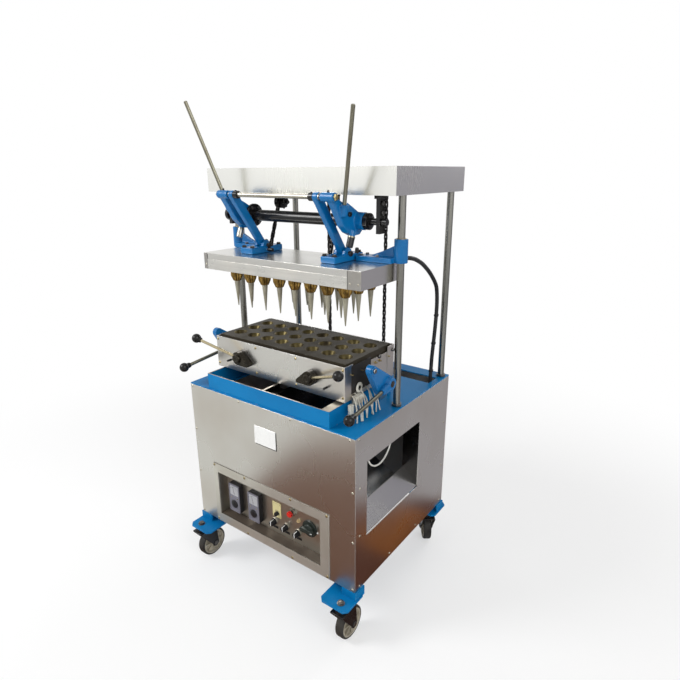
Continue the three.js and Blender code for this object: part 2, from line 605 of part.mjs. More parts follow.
// Control box and what it carries
function controls() {
  const bezel = block([box.left, box.right], [-box.lip - gap, -gap], [box.bottom, box.top]);
  const tub = block([box.holeLeft - box.wall, box.holeRight + box.wall], [-box.lip, boxPlateBack],
    [box.holeBottom - box.wall, box.holeTop + box.wall]);
  const hollow = block([box.holeLeft, box.holeRight], [-box.lip - overrun, box.back],
    [box.holeBottom, box.holeTop]);
  const throughPlate = (x, z, radius) =>
    barY(box.back - overrun, boxPlateBack + overrun, x, z, radius + gap);
  const ring = cut(
    barY(box.back - button.collarProud, boxPlateBack - tuck, button.x, button.z, button.collar,
      roundSegments),
    barY(box.back - button.collarProud - overrun, box.back, button.x, button.z, button.radius + runningGap,
      roundSegments));
  let body = join(cut(join(bezel, tub), hollow), ring);
  const seats = controller.xs.map(x => block(
    [x - controller.rearWidth / 2 - gap, x + controller.rearWidth / 2 + gap],
    [box.back - overrun, boxPlateBack + overrun],
    [controller.z - controller.rearHeight / 2 - gap, controller.z + controller.rearHeight / 2 + gap]));
  body = cut(body, ...seats, throughPlate(rotary.x, rotary.z, rotary.stem),
    ...selector.xs.map(x => throughPlate(x, selector.z, selector.stem)),
    throughPlate(dial.x, dial.z, dial.stem), throughPlate(button.x, button.z, button.stem));
  addPart('control_box', body, stainless);

  controller.xs.forEach((x, i) => {
    const face = controlFace - controller.proud;
    const half = controller.width / 2;
    const inset = controller.windowInset;
    const top = controller.z + controller.height / 2 - inset;
    const dialZ = controller.z - controller.dialDrop;
    const bodySolid = join(
      block([x - half, x + half], [face, controlFace],
        [controller.z - controller.height / 2, controller.z + controller.height / 2]),
      block([x - controller.rearWidth / 2, x + controller.rearWidth / 2],
        [face + overrun, controlFace + controller.rearDepth],
        [controller.z - controller.rearHeight / 2, controller.z + controller.rearHeight / 2]),
      barY(face - controller.dialProud, face + tuck, x, dialZ, controller.dial, roundSegments));
    const sunk = block([x - half + inset, x + half - inset], [face - overrun, face + controller.windowDeep],
      [top - controller.windowHeight, top]);
    addPart(`controller_${i + 1}`, cut(bodySolid, sunk), greyPlastic);
  });

  const stem = (x, z, radius, length) => barY(controlFace - tuck, controlFace + length, x, z, radius);
  const rotaryFront = controlFace - rotary.plate;
  addPart('rotary_switch', join(
    barY(rotaryFront, controlFace, rotary.x, rotary.z, rotary.radius, roundSegments),
    block([rotary.x - rotary.gripLength / 2, rotary.x + rotary.gripLength / 2],
      [rotaryFront - rotary.grip, controlFace - tuck],
      [rotary.z - rotary.gripWidth / 2, rotary.z + rotary.gripWidth / 2]),
    stem(rotary.x, rotary.z, rotary.stem, selector.stemLength)), blackPlastic);
  selector.xs.forEach((x, i) => {
    addPart(`selector_${i + 1}`, join(
      barY(controlFace - selector.length, controlFace, x, selector.z, selector.radius, plainSegments),
      stem(x, selector.z, selector.stem, selector.stemLength)), blackPlastic);
  });
  addPart('dial_knob', join(
    barY(controlFace - dial.length, controlFace, dial.x, dial.z, dial.radius, plainSegments),
    stem(dial.x, dial.z, dial.stem, dial.stemLength)), blackPlastic);
  const capFront = box.back - button.proud;
  addPart('red_button', join(
    barY(capFront, capFront + button.cap, button.x, button.z, button.radius, roundSegments),
    barY(capFront + tuck, box.back + button.stemLength, button.x, button.z, button.stem, smallSegments)),
  redPlastic);
}

// Casters: a fork that swivels in the pad and a wheel on its axle
function casters() {
  const halfFork = fork.inner + fork.plate;
  const discTop = pad.bottom - gap;
  const raceTop = discTop - fork.disc;
  const bridgeTop = raceTop - fork.race;
  const bridgeBottom = bridgeTop - fork.bridge;
  const axleAt = [caster.trail, caster.radius];
  const cheekOutline = [
    [-fork.front, bridgeTop], [-fork.front, bridgeBottom], [axleAt[0] - fork.tipFront, axleAt[1]],
    [axleAt[0], axleAt[1] - fork.tipBelow], [axleAt[0] + fork.tipBack, axleAt[1]], [fork.back, bridgeTop]];
  const w = wheel;
  const half = [[w.hub, w.halfHub], [w.hub, w.web], [w.rimInner, w.web], [w.rim, w.halfRim],
    [caster.radius - w.edge, w.halfRim], [caster.radius, w.halfTread]];
  const bore = fork.axle + runningGap;
  const profile = [
    [bore, -w.halfHub], ...half.map(([r, h]) => [r, -h]), ...half.map(([r, h]) => [r, h]).reverse(),
    [bore, w.halfHub], [bore, -w.halfHub]];
  for (const [sideName, side] of Object.entries(sides)) {
    for (const end of ['front', 'rear']) {
      const place = [caster.x * side, end === 'front' ? caster.frontY : caster.backY, 0];
      const group = new THREE.Group();
      group.position.set(...place);
      group.rotation.z = end === 'rear' && side > 0 ? THREE.MathUtils.degToRad(swivelled) : 0;
      machine.add(group);
      addPart(`fork_${end}_${sideName}`, join(
        barZ(raceTop + tuck, pad.top - fork.stemShort, 0, 0, caster.stem - gap, plainSegments),
        barZ(raceTop, discTop, 0, 0, caster.disc, roundSegments),
        barZ(bridgeTop - fork.bridge / 2, raceTop + gap, 0, 0, caster.race, roundSegments),
        block([tuck - halfFork, halfFork - tuck], [tuck - fork.front, fork.back - tuck],
          [bridgeBottom, bridgeTop - tuck]),
        prismX(cheekOutline, -halfFork, -fork.inner), prismX(cheekOutline, fork.inner, halfFork),
        barX(-halfFork - fork.axleProud, halfFork + fork.axleProud, axleAt[0], axleAt[1], fork.axle,
          plainSegments)), blackSteel, group);
      const geometry = lathe(profile, wheelSegments);
      geometry.rotateZ(Math.PI / 2);
      addPart(`wheel_${end}_${sideName}`, solidOf(geometry), rubber, group, [0, ...axleAt]);
    }
  }
}

// Poles on the deck
function poles() {
  for (const [sideName, side] of Object.entries(sides)) {
    for (const [end, y] of [['front', pole.frontY], ['rear', pole.backY]]) {
      addPart(`pole_${end}_${sideName}`, join(
        barZ(cabinetTop + gap + tuck, canopy.bottom - gap, 0, 0, pole.radius, roundSegments),
        barZ(cabinetTop + gap, cabinetTop + pole.nutHeight, 0, 0, pole.nut, hexSegments)),
      brightSteel, machine, [pole.x * side, y, 0]);
    }
  }
}

// Canopy: a folded tray turned down, with cross rails for the poles, hangers and sprocket ears
function canopyTray() {
  const inner = canopyHalf - canopy.sheet;
  let body = cut(
    block([-canopyHalf, canopyHalf], [canopy.front, canopy.back], [canopy.bottom, canopyTop]),
    block([-inner, inner], [canopy.front + canopy.sheet, canopy.back - canopy.sheet],
      [canopy.bottom - overrun, canopyTop - canopy.sheet]));
  const rail = (y, half) => block([-canopyHalf + canopy.sheet / 2, canopyHalf - canopy.sheet / 2],
    [y - half, y + half], [canopy.bottom + tuck, canopy.bottom + canopy.rail]);
  const backRail = canopy.back - rails.halfWidth - canopy.sheet;
  body = join(body, rail(rails.shaftY, rails.halfWidthShaft), rail(pole.frontY, rails.halfWidth),
    rail(rails.sprocketY, rails.halfWidthSprocket), rail(backRail, rails.halfWidth));
  body = cut(body, block([chain.x - chain.slotHalf, chain.x + chain.slotHalf],
    [pole.frontY - rails.halfWidth - overrun, sprocket.frontY - chain.pitchRadius + chain.thickness],
    [canopy.bottom - overrun, canopy.bottom + canopy.rail + overrun]));
  for (const [sideName, side] of Object.entries(sides)) {
    const x = chain.x * side;
    const outerEar = [ear.inner + sprocket.earOut, ear.outer + sprocket.earOut];
    const rows = [
      [sprocket.frontY, frontSprocketZ[sideName], [outerEar]],
      [sprocket.backY, sprocket.highZ, [[-ear.outer, -ear.inner], [ear.inner, ear.outer]]]];
    for (const [y, z, ears] of rows) {
      const span = z < canopy.bottom
        ? [z - ear.beyond, canopy.bottom + canopy.rail - tuck]
        : [canopy.bottom + 2 * tuck, z + ear.beyond];
      for (const [a, b] of ears) {
        const reach = side > 0 ? [x + a, x + b] : [x - b, x - a];
        const plate = block(reach, [y - ear.halfWidth, y + ear.halfWidth], span);
        const bore = barX(reach[0] - overrun, reach[1] + overrun, y, z, sprocket.pin + runningGap,
          smallSegments);
        body = join(body, cut(plate, bore));
      }
    }
  }
  addPart('canopy', body, stainless);
}

// Bearing hangers for the lift shaft
function hangers() {
  for (const [sideName, side] of Object.entries(sides)) {
    const x = across(side, hanger.x, hanger.x + hanger.thickness);
    const y = [shaft.y - hanger.width / 2, shaft.y + hanger.width / 2];
    const top = canopy.bottom - gap;
    addPart(`hanger_${sideName}`, cut(
      join(block(x, y, [hanger.bottom, top - tuck]),
        block([x[0] - hanger.padOut, x[1] + hanger.padOut], [y[0] - hanger.padOut, y[1] + hanger.padOut],
          [top - hanger.padThickness, top])),
      barX(x[0] - overrun, x[1] + overrun, shaft.y, shaft.z, shaft.stub + runningGap)), blackSteel);
  }
}

// Lift shaft with its discs, flanges and stub ends
function liftShaft() {
  const round = (half, radius) => barX(-half, half, shaft.y, shaft.z, radius, roundSegments);
  const ring = (side, a, b, radius) => barX(...across(side, a, b), shaft.y, shaft.z, radius, fineSegments);
  const pieces = Object.values(sides).flatMap(side => [
    ring(side, shaft.tubeHalf, shaft.tubeHalf + shaft.discThick, shaft.disc),
    ring(side, shaft.bossOuter + gap, shaft.flangeOuter, shaft.flange)]);
  addPart('lift_shaft', join(
    round(shaft.tubeHalf + gap, shaft.tube), round(shaft.flangeOuter - tuck, shaft.core),
    round(shaft.stubOuter, shaft.stub), ...pieces,
    ring(sides.left, shaft.endCollarInner, shaft.endCollarOuter, shaft.endCollar)), blackSteel);
}

// Crank castings with the sockets of the hand levers
function cranks() {
  const reach = [shaft.y - crankPin.y, crankPin.z - shaft.z];
  const outline = crankOutlineShares.map(([back, up]) => [
    shaft.y - back * reach[0], shaft.z + up * reach[1]]);
  for (const [sideName, side] of Object.entries(sides)) {
    const aim = new THREE.Vector3(lever.outShare * side, -lever.forwardShare, lever.upShare).normalize();
    const mouth = new THREE.Vector3(lever.x * side, lever.y, lever.z);
    const along = distance => mouth.clone().addScaledVector(aim, distance).toArray();
    const body = join(
      prismX(outline, ...across(side, crank.plateInner, crank.plateOuter)),
      barX(...across(side, crankPin.knuckleInner, crankPin.knuckleOuter), crankPin.y, crankPin.z,
        crankPin.knuckle, roundSegments),
      barX(...across(side, crank.bossInner, shaft.bossOuter), shaft.y, shaft.z, crank.boss, fineSegments),
      bar(along(-lever.socketLength), along(0), lever.socket),
      bar([stopRod.x * side, stopRod.topY, stopRod.topZ],
        [stopRod.x * side, stopRod.bottomY, stopRod.bottomZ], stopRod.radius));
    addPart(`crank_${sideName}`, cut(body,
      barX(...across(side, crank.bossInner - overrun, shaft.bossOuter + overrun), shaft.y, shaft.z,
        shaft.core + gap, roundSegments),
      bar(along(-lever.hole), along(lever.clearance), lever.radius + gap)), bluePaint);
    const length = side > 0 ? lever.rightLength : lever.leftLength;
    addPart(`hand_lever_${sideName}`,
      bar(along(gap - lever.hole), along(length), lever.radius, smallSegments), brightSteel);
  }
}

// Slanted arms, the feet they pivot in and the bar between their tops
function liftArms() {
  const top = [crankPin.y, crankPin.z];
  const low = [footPin.y, footPin.z];
  for (const [sideName, side] of Object.entries(sides)) {
    const x = across(side, arm.inner, arm.outer);
    addPart(`lift_arm_${sideName}`, cut(link(top, low, arm.topEye, arm.footEye, ...x),
      barX(x[0] - overrun, x[1] + overrun, ...top, arm.topBore),
      barX(x[0] - overrun, x[1] + overrun, ...low, arm.footBore)), bluePaint);
    const seat = pressTop + gap;
    const pocket = [x[0] - foot.pocketGap, x[1] + foot.pocketGap];
    const ears = [[pocket[0] - foot.earThick, pocket[0]], [pocket[1], pocket[1] + foot.earThick]];
    const base = cut(
      block(across(side, foot.inner, foot.outer), [foot.front, foot.back], [seat, seat + foot.height]),
      block(pocket, [foot.pocketFront, foot.pocketBack], [seat - overrun, seat + foot.height + overrun]));
    const earOutline = [
      ...arc(low, foot.ear, 0, Math.PI, smallSegments),
      [footPin.y - foot.ear, seat + tuck], [footPin.y + foot.ear, seat + tuck]];
    const cheeks = ears.map(([a, b]) => prismX(earOutline, a, b));
    const pin = barX(ears[0][0] - foot.pinProud, ears[1][1] + foot.pinProud, ...low, footPin.radius);
    const lug = barX(...across(side, foot.lugInner, foot.inner + foot.lug), foot.lugY, foot.lugZ, foot.lug);
    addPart(`arm_foot_${sideName}`, join(base, ...cheeks, pin, lug), bluePaint);
  }
  const collars = Object.values(sides).flatMap(side => [
    barX(...across(side, crossbar.collarInner, arm.inner - gap), ...top, crossbar.collar),
    barX(...across(side, crossbar.washerInner, crossbar.half - tuck), ...top, crossbar.collar)]);
  addPart('crossbar',
    join(barX(-crossbar.half, crossbar.half, ...top, crankPin.radius), ...collars), brightSteel);
}

// Press: a folded cover over the plate that carries twenty-four pointed cores
function pressPlate() {
  const s = press.sheet;
  addPart('press_cover', cut(
    block([-press.halfX, press.halfX], [press.front, press.back], [press.bottom, pressTop]),
    block([s - press.halfX, press.halfX - s], [press.front + s, press.back - s],
      [press.bottom - overrun, pressTop - s])), stainless);
  const plateTop = pressTop - s - gap;
  const plateUnder = plateTop - press.plate;
  const inner = press.halfX - s - gap;
  const profile = [[0, cores.tipZ], [cores.tip, cores.tipZ], [cores.root, cores.collarZ],
    [cores.collarLow, cores.collarZ], [cores.collar, cores.flareZ], [cores.collar, plateUnder + gap],
    [0, plateUnder + gap]];
  let plate = block([-inner, inner], [press.front + s + gap, press.back - s - gap], [plateUnder, plateTop]);
  for (let row = 0; row < cores.rows; row += 1) {
    for (let column = 0; column < cores.columns; column += 1) {
      const geometry = lathe(profile, coreSegments);
      geometry.rotateX(Math.PI / 2);
      geometry.translate((column - (cores.columns - 1) / 2) * cores.pitchX, rowY(row), 0);
      plate = plate.add(solidOf(geometry));
    }
  }
  addPart('core_plate', plate, coreSteel);
}

function rowY(row) {
  return cores.middleY + (row - (cores.rows - 1) / 2) * cores.pitchY;
}

// Guide sleeves that run on the front poles
function guideSleeves() {
  const seat = pressTop + gap;
  for (const [sideName, side] of Object.entries(sides)) {
    const x = pole.x * side;
    const tube = barZ(seat + tuck, seat + sleeve.height, x, pole.frontY, sleeve.outer, fineSegments);
    const base = block(across(side, sleeve.baseInner, sleeve.baseOuter),
      [sleeve.baseFront, sleeve.baseBack], [seat, seat + sleeve.base]);
    const webOuter = sleeve.baseOuter - tuck;
    const web = prismY([
      [sleeve.webInner * side, seat + sleeve.base / 2], [webOuter * side, seat + sleeve.base / 2],
      [webOuter * side, seat + sleeve.webTop], ...sleeve.knees.map(([x, z]) => [x * side, seat + z])],
    pole.frontY - sleeve.web / 2, pole.frontY + sleeve.web / 2);
    addPart(`guide_sleeve_${sideName}`, cut(join(tube, base, web),
      barZ(seat - overrun, seat + sleeve.height + overrun, x, pole.frontY, pole.radius + runningGap,
        roundSegments)), bluePaint);
  }
}

// Mould bars, split along the rows of cavities
function mouldBars() {
  const edges = [mould.front, rowY(0), rowY(1), rowY(2), mould.back];
  const profile = [[0, mould.bottom + cavity.floor], [cavity.tip, mould.bottom + cavity.floor],
    [cavity.shoulder, mouldTop - cavity.throatDeep], [cavity.throat, mouldTop - cavity.throatDeep],
    [cavity.mouth, mouldTop], [cavity.mouth, mouldTop + overrun], [0, mouldTop + overrun]];
  for (let i = 0; i < edges.length - 1; i += 1) {
    const front = i === 0 ? edges[i] : edges[i] + gap / 2;
    const back = i === edges.length - 2 ? edges[i + 1] : edges[i + 1] - gap / 2;
    let body = block([-mould.halfX, mould.halfX], [front, back], [mould.bottom, mouldTop]);
    for (let row = Math.max(0, i - 1); row <= Math.min(cores.rows - 1, i); row += 1) {
      for (let column = 0; column < cores.columns; column += 1) {
        const geometry = lathe(profile, smallSegments);
        geometry.rotateX(Math.PI / 2);
        geometry.translate((column - (cores.columns - 1) / 2) * cores.pitchX, rowY(row), 0);
        body = body.subtract(solidOf(geometry));
      }
    }
    addPart(`mould_bar_${i + 1}`, body, castIron);
  }
}

// Housing round the moulds: folded covers, side plates on legs, rails and the side levers' stub shafts
function mouldHousing() {
  const h = housing;
  const z = [h.bottom, h.top];
  const inner = h.halfX - h.sheet;
  const fold = (face, inside, end) => prismZ([
    [-h.halfX, face], [h.halfX, face], [h.halfX, end], [inner, end], [inner, inside], [-inner, inside],
    [-inner, end], [-h.halfX, end]], ...z);
  let body = join(
    fold(h.front, h.front + h.sheet, h.flangeFrontEnd), fold(h.back, h.back - h.sheet, h.flangeBackEnd));
  const foot = cabinetTop + gap;
  const [y0, y1, leg] = [h.sideFront, h.sideBack, h.legWidth];
  const sideOutline = [
    [y0, h.sideTop], [y0, foot], [y0 + leg, foot], [y0 + leg, h.bottom + tuck], [y1 - leg, h.bottom + tuck],
    [y1 - leg, foot], [y1, foot], [y1, h.sideTop]];
  for (const side of Object.values(sides)) {
    body = join(body,
      prismX(sideOutline, ...across(side, h.sideX, inner + tuck)),
      block([h.railX * side - h.rail / 2, h.railX * side + h.rail / 2], [h.front + tuck, h.back - tuck],
        [h.bottom + tuck, h.bottom + h.railThick]),
      barX(...across(side, h.sideX + tuck, sideLever.outer - gap), sideLever.y, sideLever.z,
        sideLever.stub));
  }
  const studs = Object.values(sides).map(side => barY(h.front - overrun, h.front + h.sheet + overrun,
    clamp.x * side, clamp.z, clamp.stud + runningGap, smallSegments));
  addPart('mould_housing', cut(body, ...studs), stainless);
}

// Side levers: a crank casting on each stub shaft with a ball-ended rod
function sideLevers() {
  const s = sideLever;
  for (const [sideName, side] of Object.entries(sides)) {
    const casting = join(
      link([s.y, s.z], [s.armY, s.armZ], s.boss, s.armEye, ...across(side, s.inner, s.inner + s.plate)),
      barX(...across(side, s.inner + tuck, s.outer), s.y, s.z, s.hub, roundSegments));
    const ballAt = [s.ballX * side, s.ballY, s.ballZ];
    const sphere = new THREE.SphereGeometry(s.ball, plainSegments, smallSegments);
    sphere.translate(...ballAt);
    addPart(`side_lever_${sideName}`, cut(
      join(casting, bar([s.rodX * side, s.rodY, s.rodZ], ballAt, s.rod, smallSegments), solidOf(sphere)),
      barX(...across(side, s.inner - overrun, s.outer + overrun), s.y, s.z, s.bore)), bluePaint);
  }
}

// Front clamps: a hub on a stud with a ball-ended rod through it
function frontClamps() {
  const c = clamp;
  const hubBack = housing.front - gap;
  for (const [sideName, side] of Object.entries(sides)) {
    const centre = new THREE.Vector3(c.x * side, c.rodDepth, c.z);
    const ballAt = new THREE.Vector3(c.ballX * side, c.ballY, c.ballZ);
    const aim = ballAt.clone().sub(centre).normalize();
    const tailEnd = centre.clone().addScaledVector(aim, -c.tail);
    const sphere = new THREE.SphereGeometry(c.ball, plainSegments, smallSegments);
    sphere.translate(...ballAt);
    const rodSolid = bar(tailEnd.toArray(), ballAt.toArray(), c.rod, smallSegments);
    addPart(`clamp_${sideName}`, join(
      barY(c.hubFront, hubBack, c.x * side, c.z, c.hub, roundSegments),
      barY(c.hubFront + tuck, housing.front + c.studReach, c.x * side, c.z, c.stud, smallSegments),
      cut(rodSolid,
        block([-canopyHalf, canopyHalf], [hubBack - tuck, housing.back], [cabinetTop, canopy.bottom])),
      solidOf(sphere)), blackSteel);
  }
}

// Sprockets under the canopy, the chains over them and the counterweight they hold
function balance() {
  const wheelAt = x => join(
    barX(x - sprocket.thickness / 2, x + sprocket.thickness / 2, 0, 0, sprocket.radius, roundSegments),
    barX(x - sprocket.hubHalf, x + sprocket.hubHalf, 0, 0, sprocket.hub));
  const r = chain.pitchRadius;
  const half = chain.thickness / 2;
  for (const [sideName, side] of Object.entries(sides)) {
    const x = chain.x * side;
    const frontZ = frontSprocketZ[sideName];
    const hook = [foot.lugY - sprocket.frontY, foot.lugZ + foot.lug + gap - frontZ];
    const leave = Math.atan2(hook[1], hook[0]) + 2 * Math.PI - Math.acos(r / Math.hypot(...hook));
    const crest = Math.PI / 2 + Math.atan2(sprocket.highZ - frontZ, sprocket.backY - sprocket.frontY);
    const wrap = (y, z, start, end) => Array.from({ length: chain.arcSteps + 1 }, (_, i) => {
      const angle = start + (end - start) * (i / chain.arcSteps);
      return [y + r * Math.cos(angle), z + r * Math.sin(angle), angle];
    });
    const path = [
      ...wrap(sprocket.frontY, frontZ, leave, crest), ...wrap(sprocket.backY, sprocket.highZ, crest, 0),
      [sprocket.backY + r, weight.bottom + weight.height + gap, 0]];
    const offset = sign => path.map(([y, z, angle]) => [
      y + sign * half * Math.cos(angle), z + sign * half * Math.sin(angle)]);
    const hookZ = foot.lugZ + foot.lug + gap;
    addPart(`sprocket_${sideName}`, join(wheelAt(0),
      barX(...across(side, sprocket.hubHalf - tuck, sprocket.drumEnd), 0, 0, sprocket.drum, roundSegments),
      barX(...across(side, -sprocket.pinHalf, sprocket.pinHalf + sprocket.earOut), 0, 0, sprocket.pin,
        smallSegments)), blackSteel, machine, [x, sprocket.frontY, frontZ]);
    addPart(`chain_${sideName}`, prismX([
      [foot.lugY + half, hookZ], [foot.lugY - half, hookZ], ...offset(1), ...offset(-1).reverse()],
    x - chain.width / 2, x + chain.width / 2), blackSteel);
  }
  const rearHalf = chain.x + sprocket.pinHalf;
  addPart('rear_sprocket_shaft', join(wheelAt(chain.x), wheelAt(-chain.x),
    barX(-rearHalf, rearHalf, 0, 0, sprocket.pin, smallSegments)),
  blackSteel, machine, [0, sprocket.backY, sprocket.highZ]);
  addPart('counterweight', block([-weight.halfX, weight.halfX], [weight.front, weight.back],
    [weight.bottom, weight.bottom + weight.height]), castIron);
}

// Conduit along its hand-chosen route
function conduitTube() {
  const shape = new THREE.Shape();
  shape.absarc(0, 0, conduit.radius, 0, 2 * Math.PI);
  const curve = new THREE.CatmullRomCurve3(conduitRoute.map(p => new THREE.Vector3(...p)));
  const geometry = new THREE.ExtrudeGeometry(shape, {
    steps: conduit.steps, extrudePath: curve, bevelEnabled: false, curveSegments: conduit.halfSides,
  });
  addPart('conduit', solidOf(geometry), blackPlastic);
}

baseFrame();
panels();
topDeck();
coneChute();
controls();
casters();
poles();
canopyTray();
hangers();
liftShaft();
cranks();
liftArms();
pressPlate();
guideSleeves();
mouldBars();
mouldHousing();
sideLevers();
frontClamps();
balance();
conduitTube();

// Centre the whole over the floor, so that the origin is under its middle
const wholeFront = pad.frontStart;
const wholeBack = caster.backY + caster.trail + caster.radius;
machine.position.y = -(wholeFront + wholeBack) / 2;

export default machine;
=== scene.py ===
"""A floor-standing machine that bakes wafer cones: the looks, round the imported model."""

import math

import bmesh
import bpy
from mathutils import Matrix, Vector, geometry


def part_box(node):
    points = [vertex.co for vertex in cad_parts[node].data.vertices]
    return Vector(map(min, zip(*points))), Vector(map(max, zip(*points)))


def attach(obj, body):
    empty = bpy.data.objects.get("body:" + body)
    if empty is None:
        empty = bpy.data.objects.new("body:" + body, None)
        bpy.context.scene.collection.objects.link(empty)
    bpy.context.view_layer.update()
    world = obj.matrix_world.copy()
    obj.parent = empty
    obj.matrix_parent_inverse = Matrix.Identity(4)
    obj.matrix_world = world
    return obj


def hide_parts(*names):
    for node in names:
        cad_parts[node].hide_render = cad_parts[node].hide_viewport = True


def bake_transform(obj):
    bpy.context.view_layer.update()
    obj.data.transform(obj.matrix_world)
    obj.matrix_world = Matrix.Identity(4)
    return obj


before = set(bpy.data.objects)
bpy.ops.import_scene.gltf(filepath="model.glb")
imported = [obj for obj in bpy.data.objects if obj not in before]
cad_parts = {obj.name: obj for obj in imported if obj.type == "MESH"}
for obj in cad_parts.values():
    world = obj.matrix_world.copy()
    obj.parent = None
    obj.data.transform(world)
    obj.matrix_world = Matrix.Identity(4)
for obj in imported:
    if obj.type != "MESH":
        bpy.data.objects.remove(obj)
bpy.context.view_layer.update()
scene = bpy.context.scene
link = scene.collection.objects.link

# The camera stands a step away to the front right, at a tall person's eye
# height, and looks down a little.
camera_place = (1.0159, -1.2595, 1.3158)
camera_turn, camera_tilt, camera_roll = math.radians(36.52), math.radians(-17.76), -0.006
camera = bpy.data.objects.new("camera", bpy.data.cameras.new("camera"))
link(camera)
camera.data.sensor_width = 36
camera.data.lens = 27.65
camera.matrix_world = (
    Matrix.Translation(camera_place)
    @ Matrix.Rotation(camera_turn, 4, "Z")
    @ Matrix.Rotation(math.pi / 2 + camera_tilt, 4, "X")
    @ Matrix.Rotation(camera_roll, 4, "Z")
)
scene.camera = camera


def node(tree, kind, inputs=(), out=0, **settings):
    """One output of a new shader node; its inputs are values or other nodes' outputs."""
    made = tree.nodes.new("ShaderNode" + kind)
    for key, value in settings.items():
        setattr(made, key, value)
    for key, value in dict(inputs).items():
        if isinstance(value, bpy.types.NodeSocket):
            tree.links.new(value, made.inputs[key])
        else:
            made.inputs[key].default_value = value
    return made.outputs[out]


def sum_of(tree, operation, *values):
    """Arithmetic on values that change over the surface."""
    return node(tree, "Math", enumerate(values), operation=operation)


def mix(tree, share, colour, over):
    """A colour laid over another by a share."""
    return node(tree, "Mix", {"Factor": share, 6: colour, 7: over}, 2, data_type="RGBA")


def axis_of(tree, axis, kind="TexCoord", out="Object"):
    """One axis of a place on the piece, or of the way that a face looks."""
    return node(tree, "SeparateXYZ", {0: node(tree, kind, out=out)}, axis)


def group(name, inputs, outputs):
    """An empty node group with named sockets: colours, values and a vector."""
    tree = bpy.data.node_groups.new(name, "ShaderNodeTree")
    for way, sockets in (("INPUT", inputs), ("OUTPUT", outputs)):
        for label, kind in sockets.items():
            tree.interface.new_socket(name=label, in_out=way, socket_type="NodeSocket" + kind)
    return tree, tree.nodes.new("NodeGroupInput").outputs, tree.nodes.new("NodeGroupOutput").inputs


def grey(level):
    return (level, level, level, 1)


patina, wear, worn_out = group(
    "patina",
    {"Colour": "Color", "Stain": "Color", "Stain amount": "Float", "Patch size": "Float",
     "Sheen low": "Float",
     "Sheen high": "Float", "Grain": "Float", "Speckle": "Float", "Stretch": "Vector"},
    {"Colour": "Color", "Roughness": "Float", "Height": "Float"})
place = node(patina, "TexCoord", out="Object")
broad = node(patina, "TexNoise",
             {"Vector": place, "Scale": wear["Patch size"], "Detail": 3.0, "Roughness": 0.5})
stretched = node(patina, "VectorMath", {0: place, 1: wear["Stretch"]}, operation="MULTIPLY")
fine = node(patina, "TexNoise",
            {"Vector": stretched, "Scale": wear["Grain"], "Detail": 3.0, "Roughness": 0.55})
patch = node(patina, "MapRange", {"Value": broad, "From Min": 0.40, "From Max": 0.68})
stained = mix(patina, sum_of(patina, "MULTIPLY", patch, wear["Stain amount"]), wear["Colour"], wear["Stain"])
speckle = sum_of(patina, "MULTIPLY_ADD", sum_of(patina, "SUBTRACT", fine, 0.5), wear["Speckle"], 1.0)
shaded = node(patina, "VectorMath", {0: stained, 3: speckle}, operation="SCALE")
sheen = node(patina, "MapRange", {"Value": sum_of(patina, "MULTIPLY", patch, fine), "From Max": 0.6,
                                  "To Min": wear["Sheen low"], "To Max": wear["Sheen high"]})
patina.links.new(shaded, worn_out["Colour"])
patina.links.new(sheen, worn_out["Roughness"])
patina.links.new(fine, worn_out["Height"])

edge_rub, rub_in, rub_out = group("edge rub", {"Width": "Float"}, {"Mask": "Float"})
rounded = node(edge_rub, "Bevel", {"Radius": rub_in["Width"]}, samples=4)
true_face = node(edge_rub, "NewGeometry", out="Normal")
bend = node(edge_rub, "VectorMath", {0: rounded, 1: true_face}, "Value", operation="DOT_PRODUCT")
near_edge = node(edge_rub, "MapRange", {"Value": bend, "From Min": 0.985, "From Max": 0.9})
rub_place = node(edge_rub, "TexCoord", out="Object")
chips = node(edge_rub, "TexNoise", {"Vector": rub_place, "Scale": 55.0, "Detail": 4.0})
chipped = node(edge_rub, "MapRange", {"Value": chips, "From Min": 0.54, "From Max": 0.66})
edge_rub.links.new(sum_of(edge_rub, "MULTIPLY", near_edge, chipped), rub_out["Mask"])


def soil(material, share, colour):
    """Lays one more colour over a finish by a share that changes over the surface."""
    tree = material.node_tree
    surface = tree.nodes["Principled BSDF"].inputs["Base Color"]
    tree.links.new(mix(tree, share, surface.links[0].from_socket, (*colour, 1)), surface)


def finish(name, colour, stain, metallic=0.0, patches=(0.4, 9.0), sheen=(0.35, 0.5), grain=900.0,
           speckle=0.3, stretch=(1.0, 1.0, 1.0), bump=0.03, rub=None, coat=0.0, specular=0.3):
    """A material with the shared patina. Patches are the stain's amount and how close they lie; rub is
    the colour along worn edges and its width."""
    material = bpy.data.materials.new(name)
    material.use_nodes = True
    tree = material.node_tree
    shader = tree.nodes["Principled BSDF"].inputs
    worn = tree.nodes.new("ShaderNodeGroup")
    worn.node_tree = patina
    values = {"Colour": (*colour, 1), "Stain": (*stain, 1), "Stain amount": patches[0],
              "Patch size": patches[1], "Sheen low": sheen[0], "Sheen high": sheen[1], "Grain": grain,
              "Speckle": speckle, "Stretch": stretch}
    for key, value in values.items():
        worn.inputs[key].default_value = value
    tree.links.new(worn.outputs["Colour"], shader["Base Color"])
    tree.links.new(worn.outputs["Roughness"], shader["Roughness"])
    if rub:
        edges = tree.nodes.new("ShaderNodeGroup")
        edges.node_tree = edge_rub
        edges.inputs["Width"].default_value = rub[1]
        soil(material, edges.outputs["Mask"], rub[0])
    shader["Metallic"].default_value = metallic
    shader["Coat Weight"].default_value = coat
    shader["Coat Roughness"].default_value = 0.12
    shader["Specular IOR Level"].default_value = specular
    relief = node(tree, "Bump", {"Strength": bump, "Distance": 0.001, "Height": worn.outputs["Height"]})
    tree.links.new(relief, shader["Normal"])
    return material


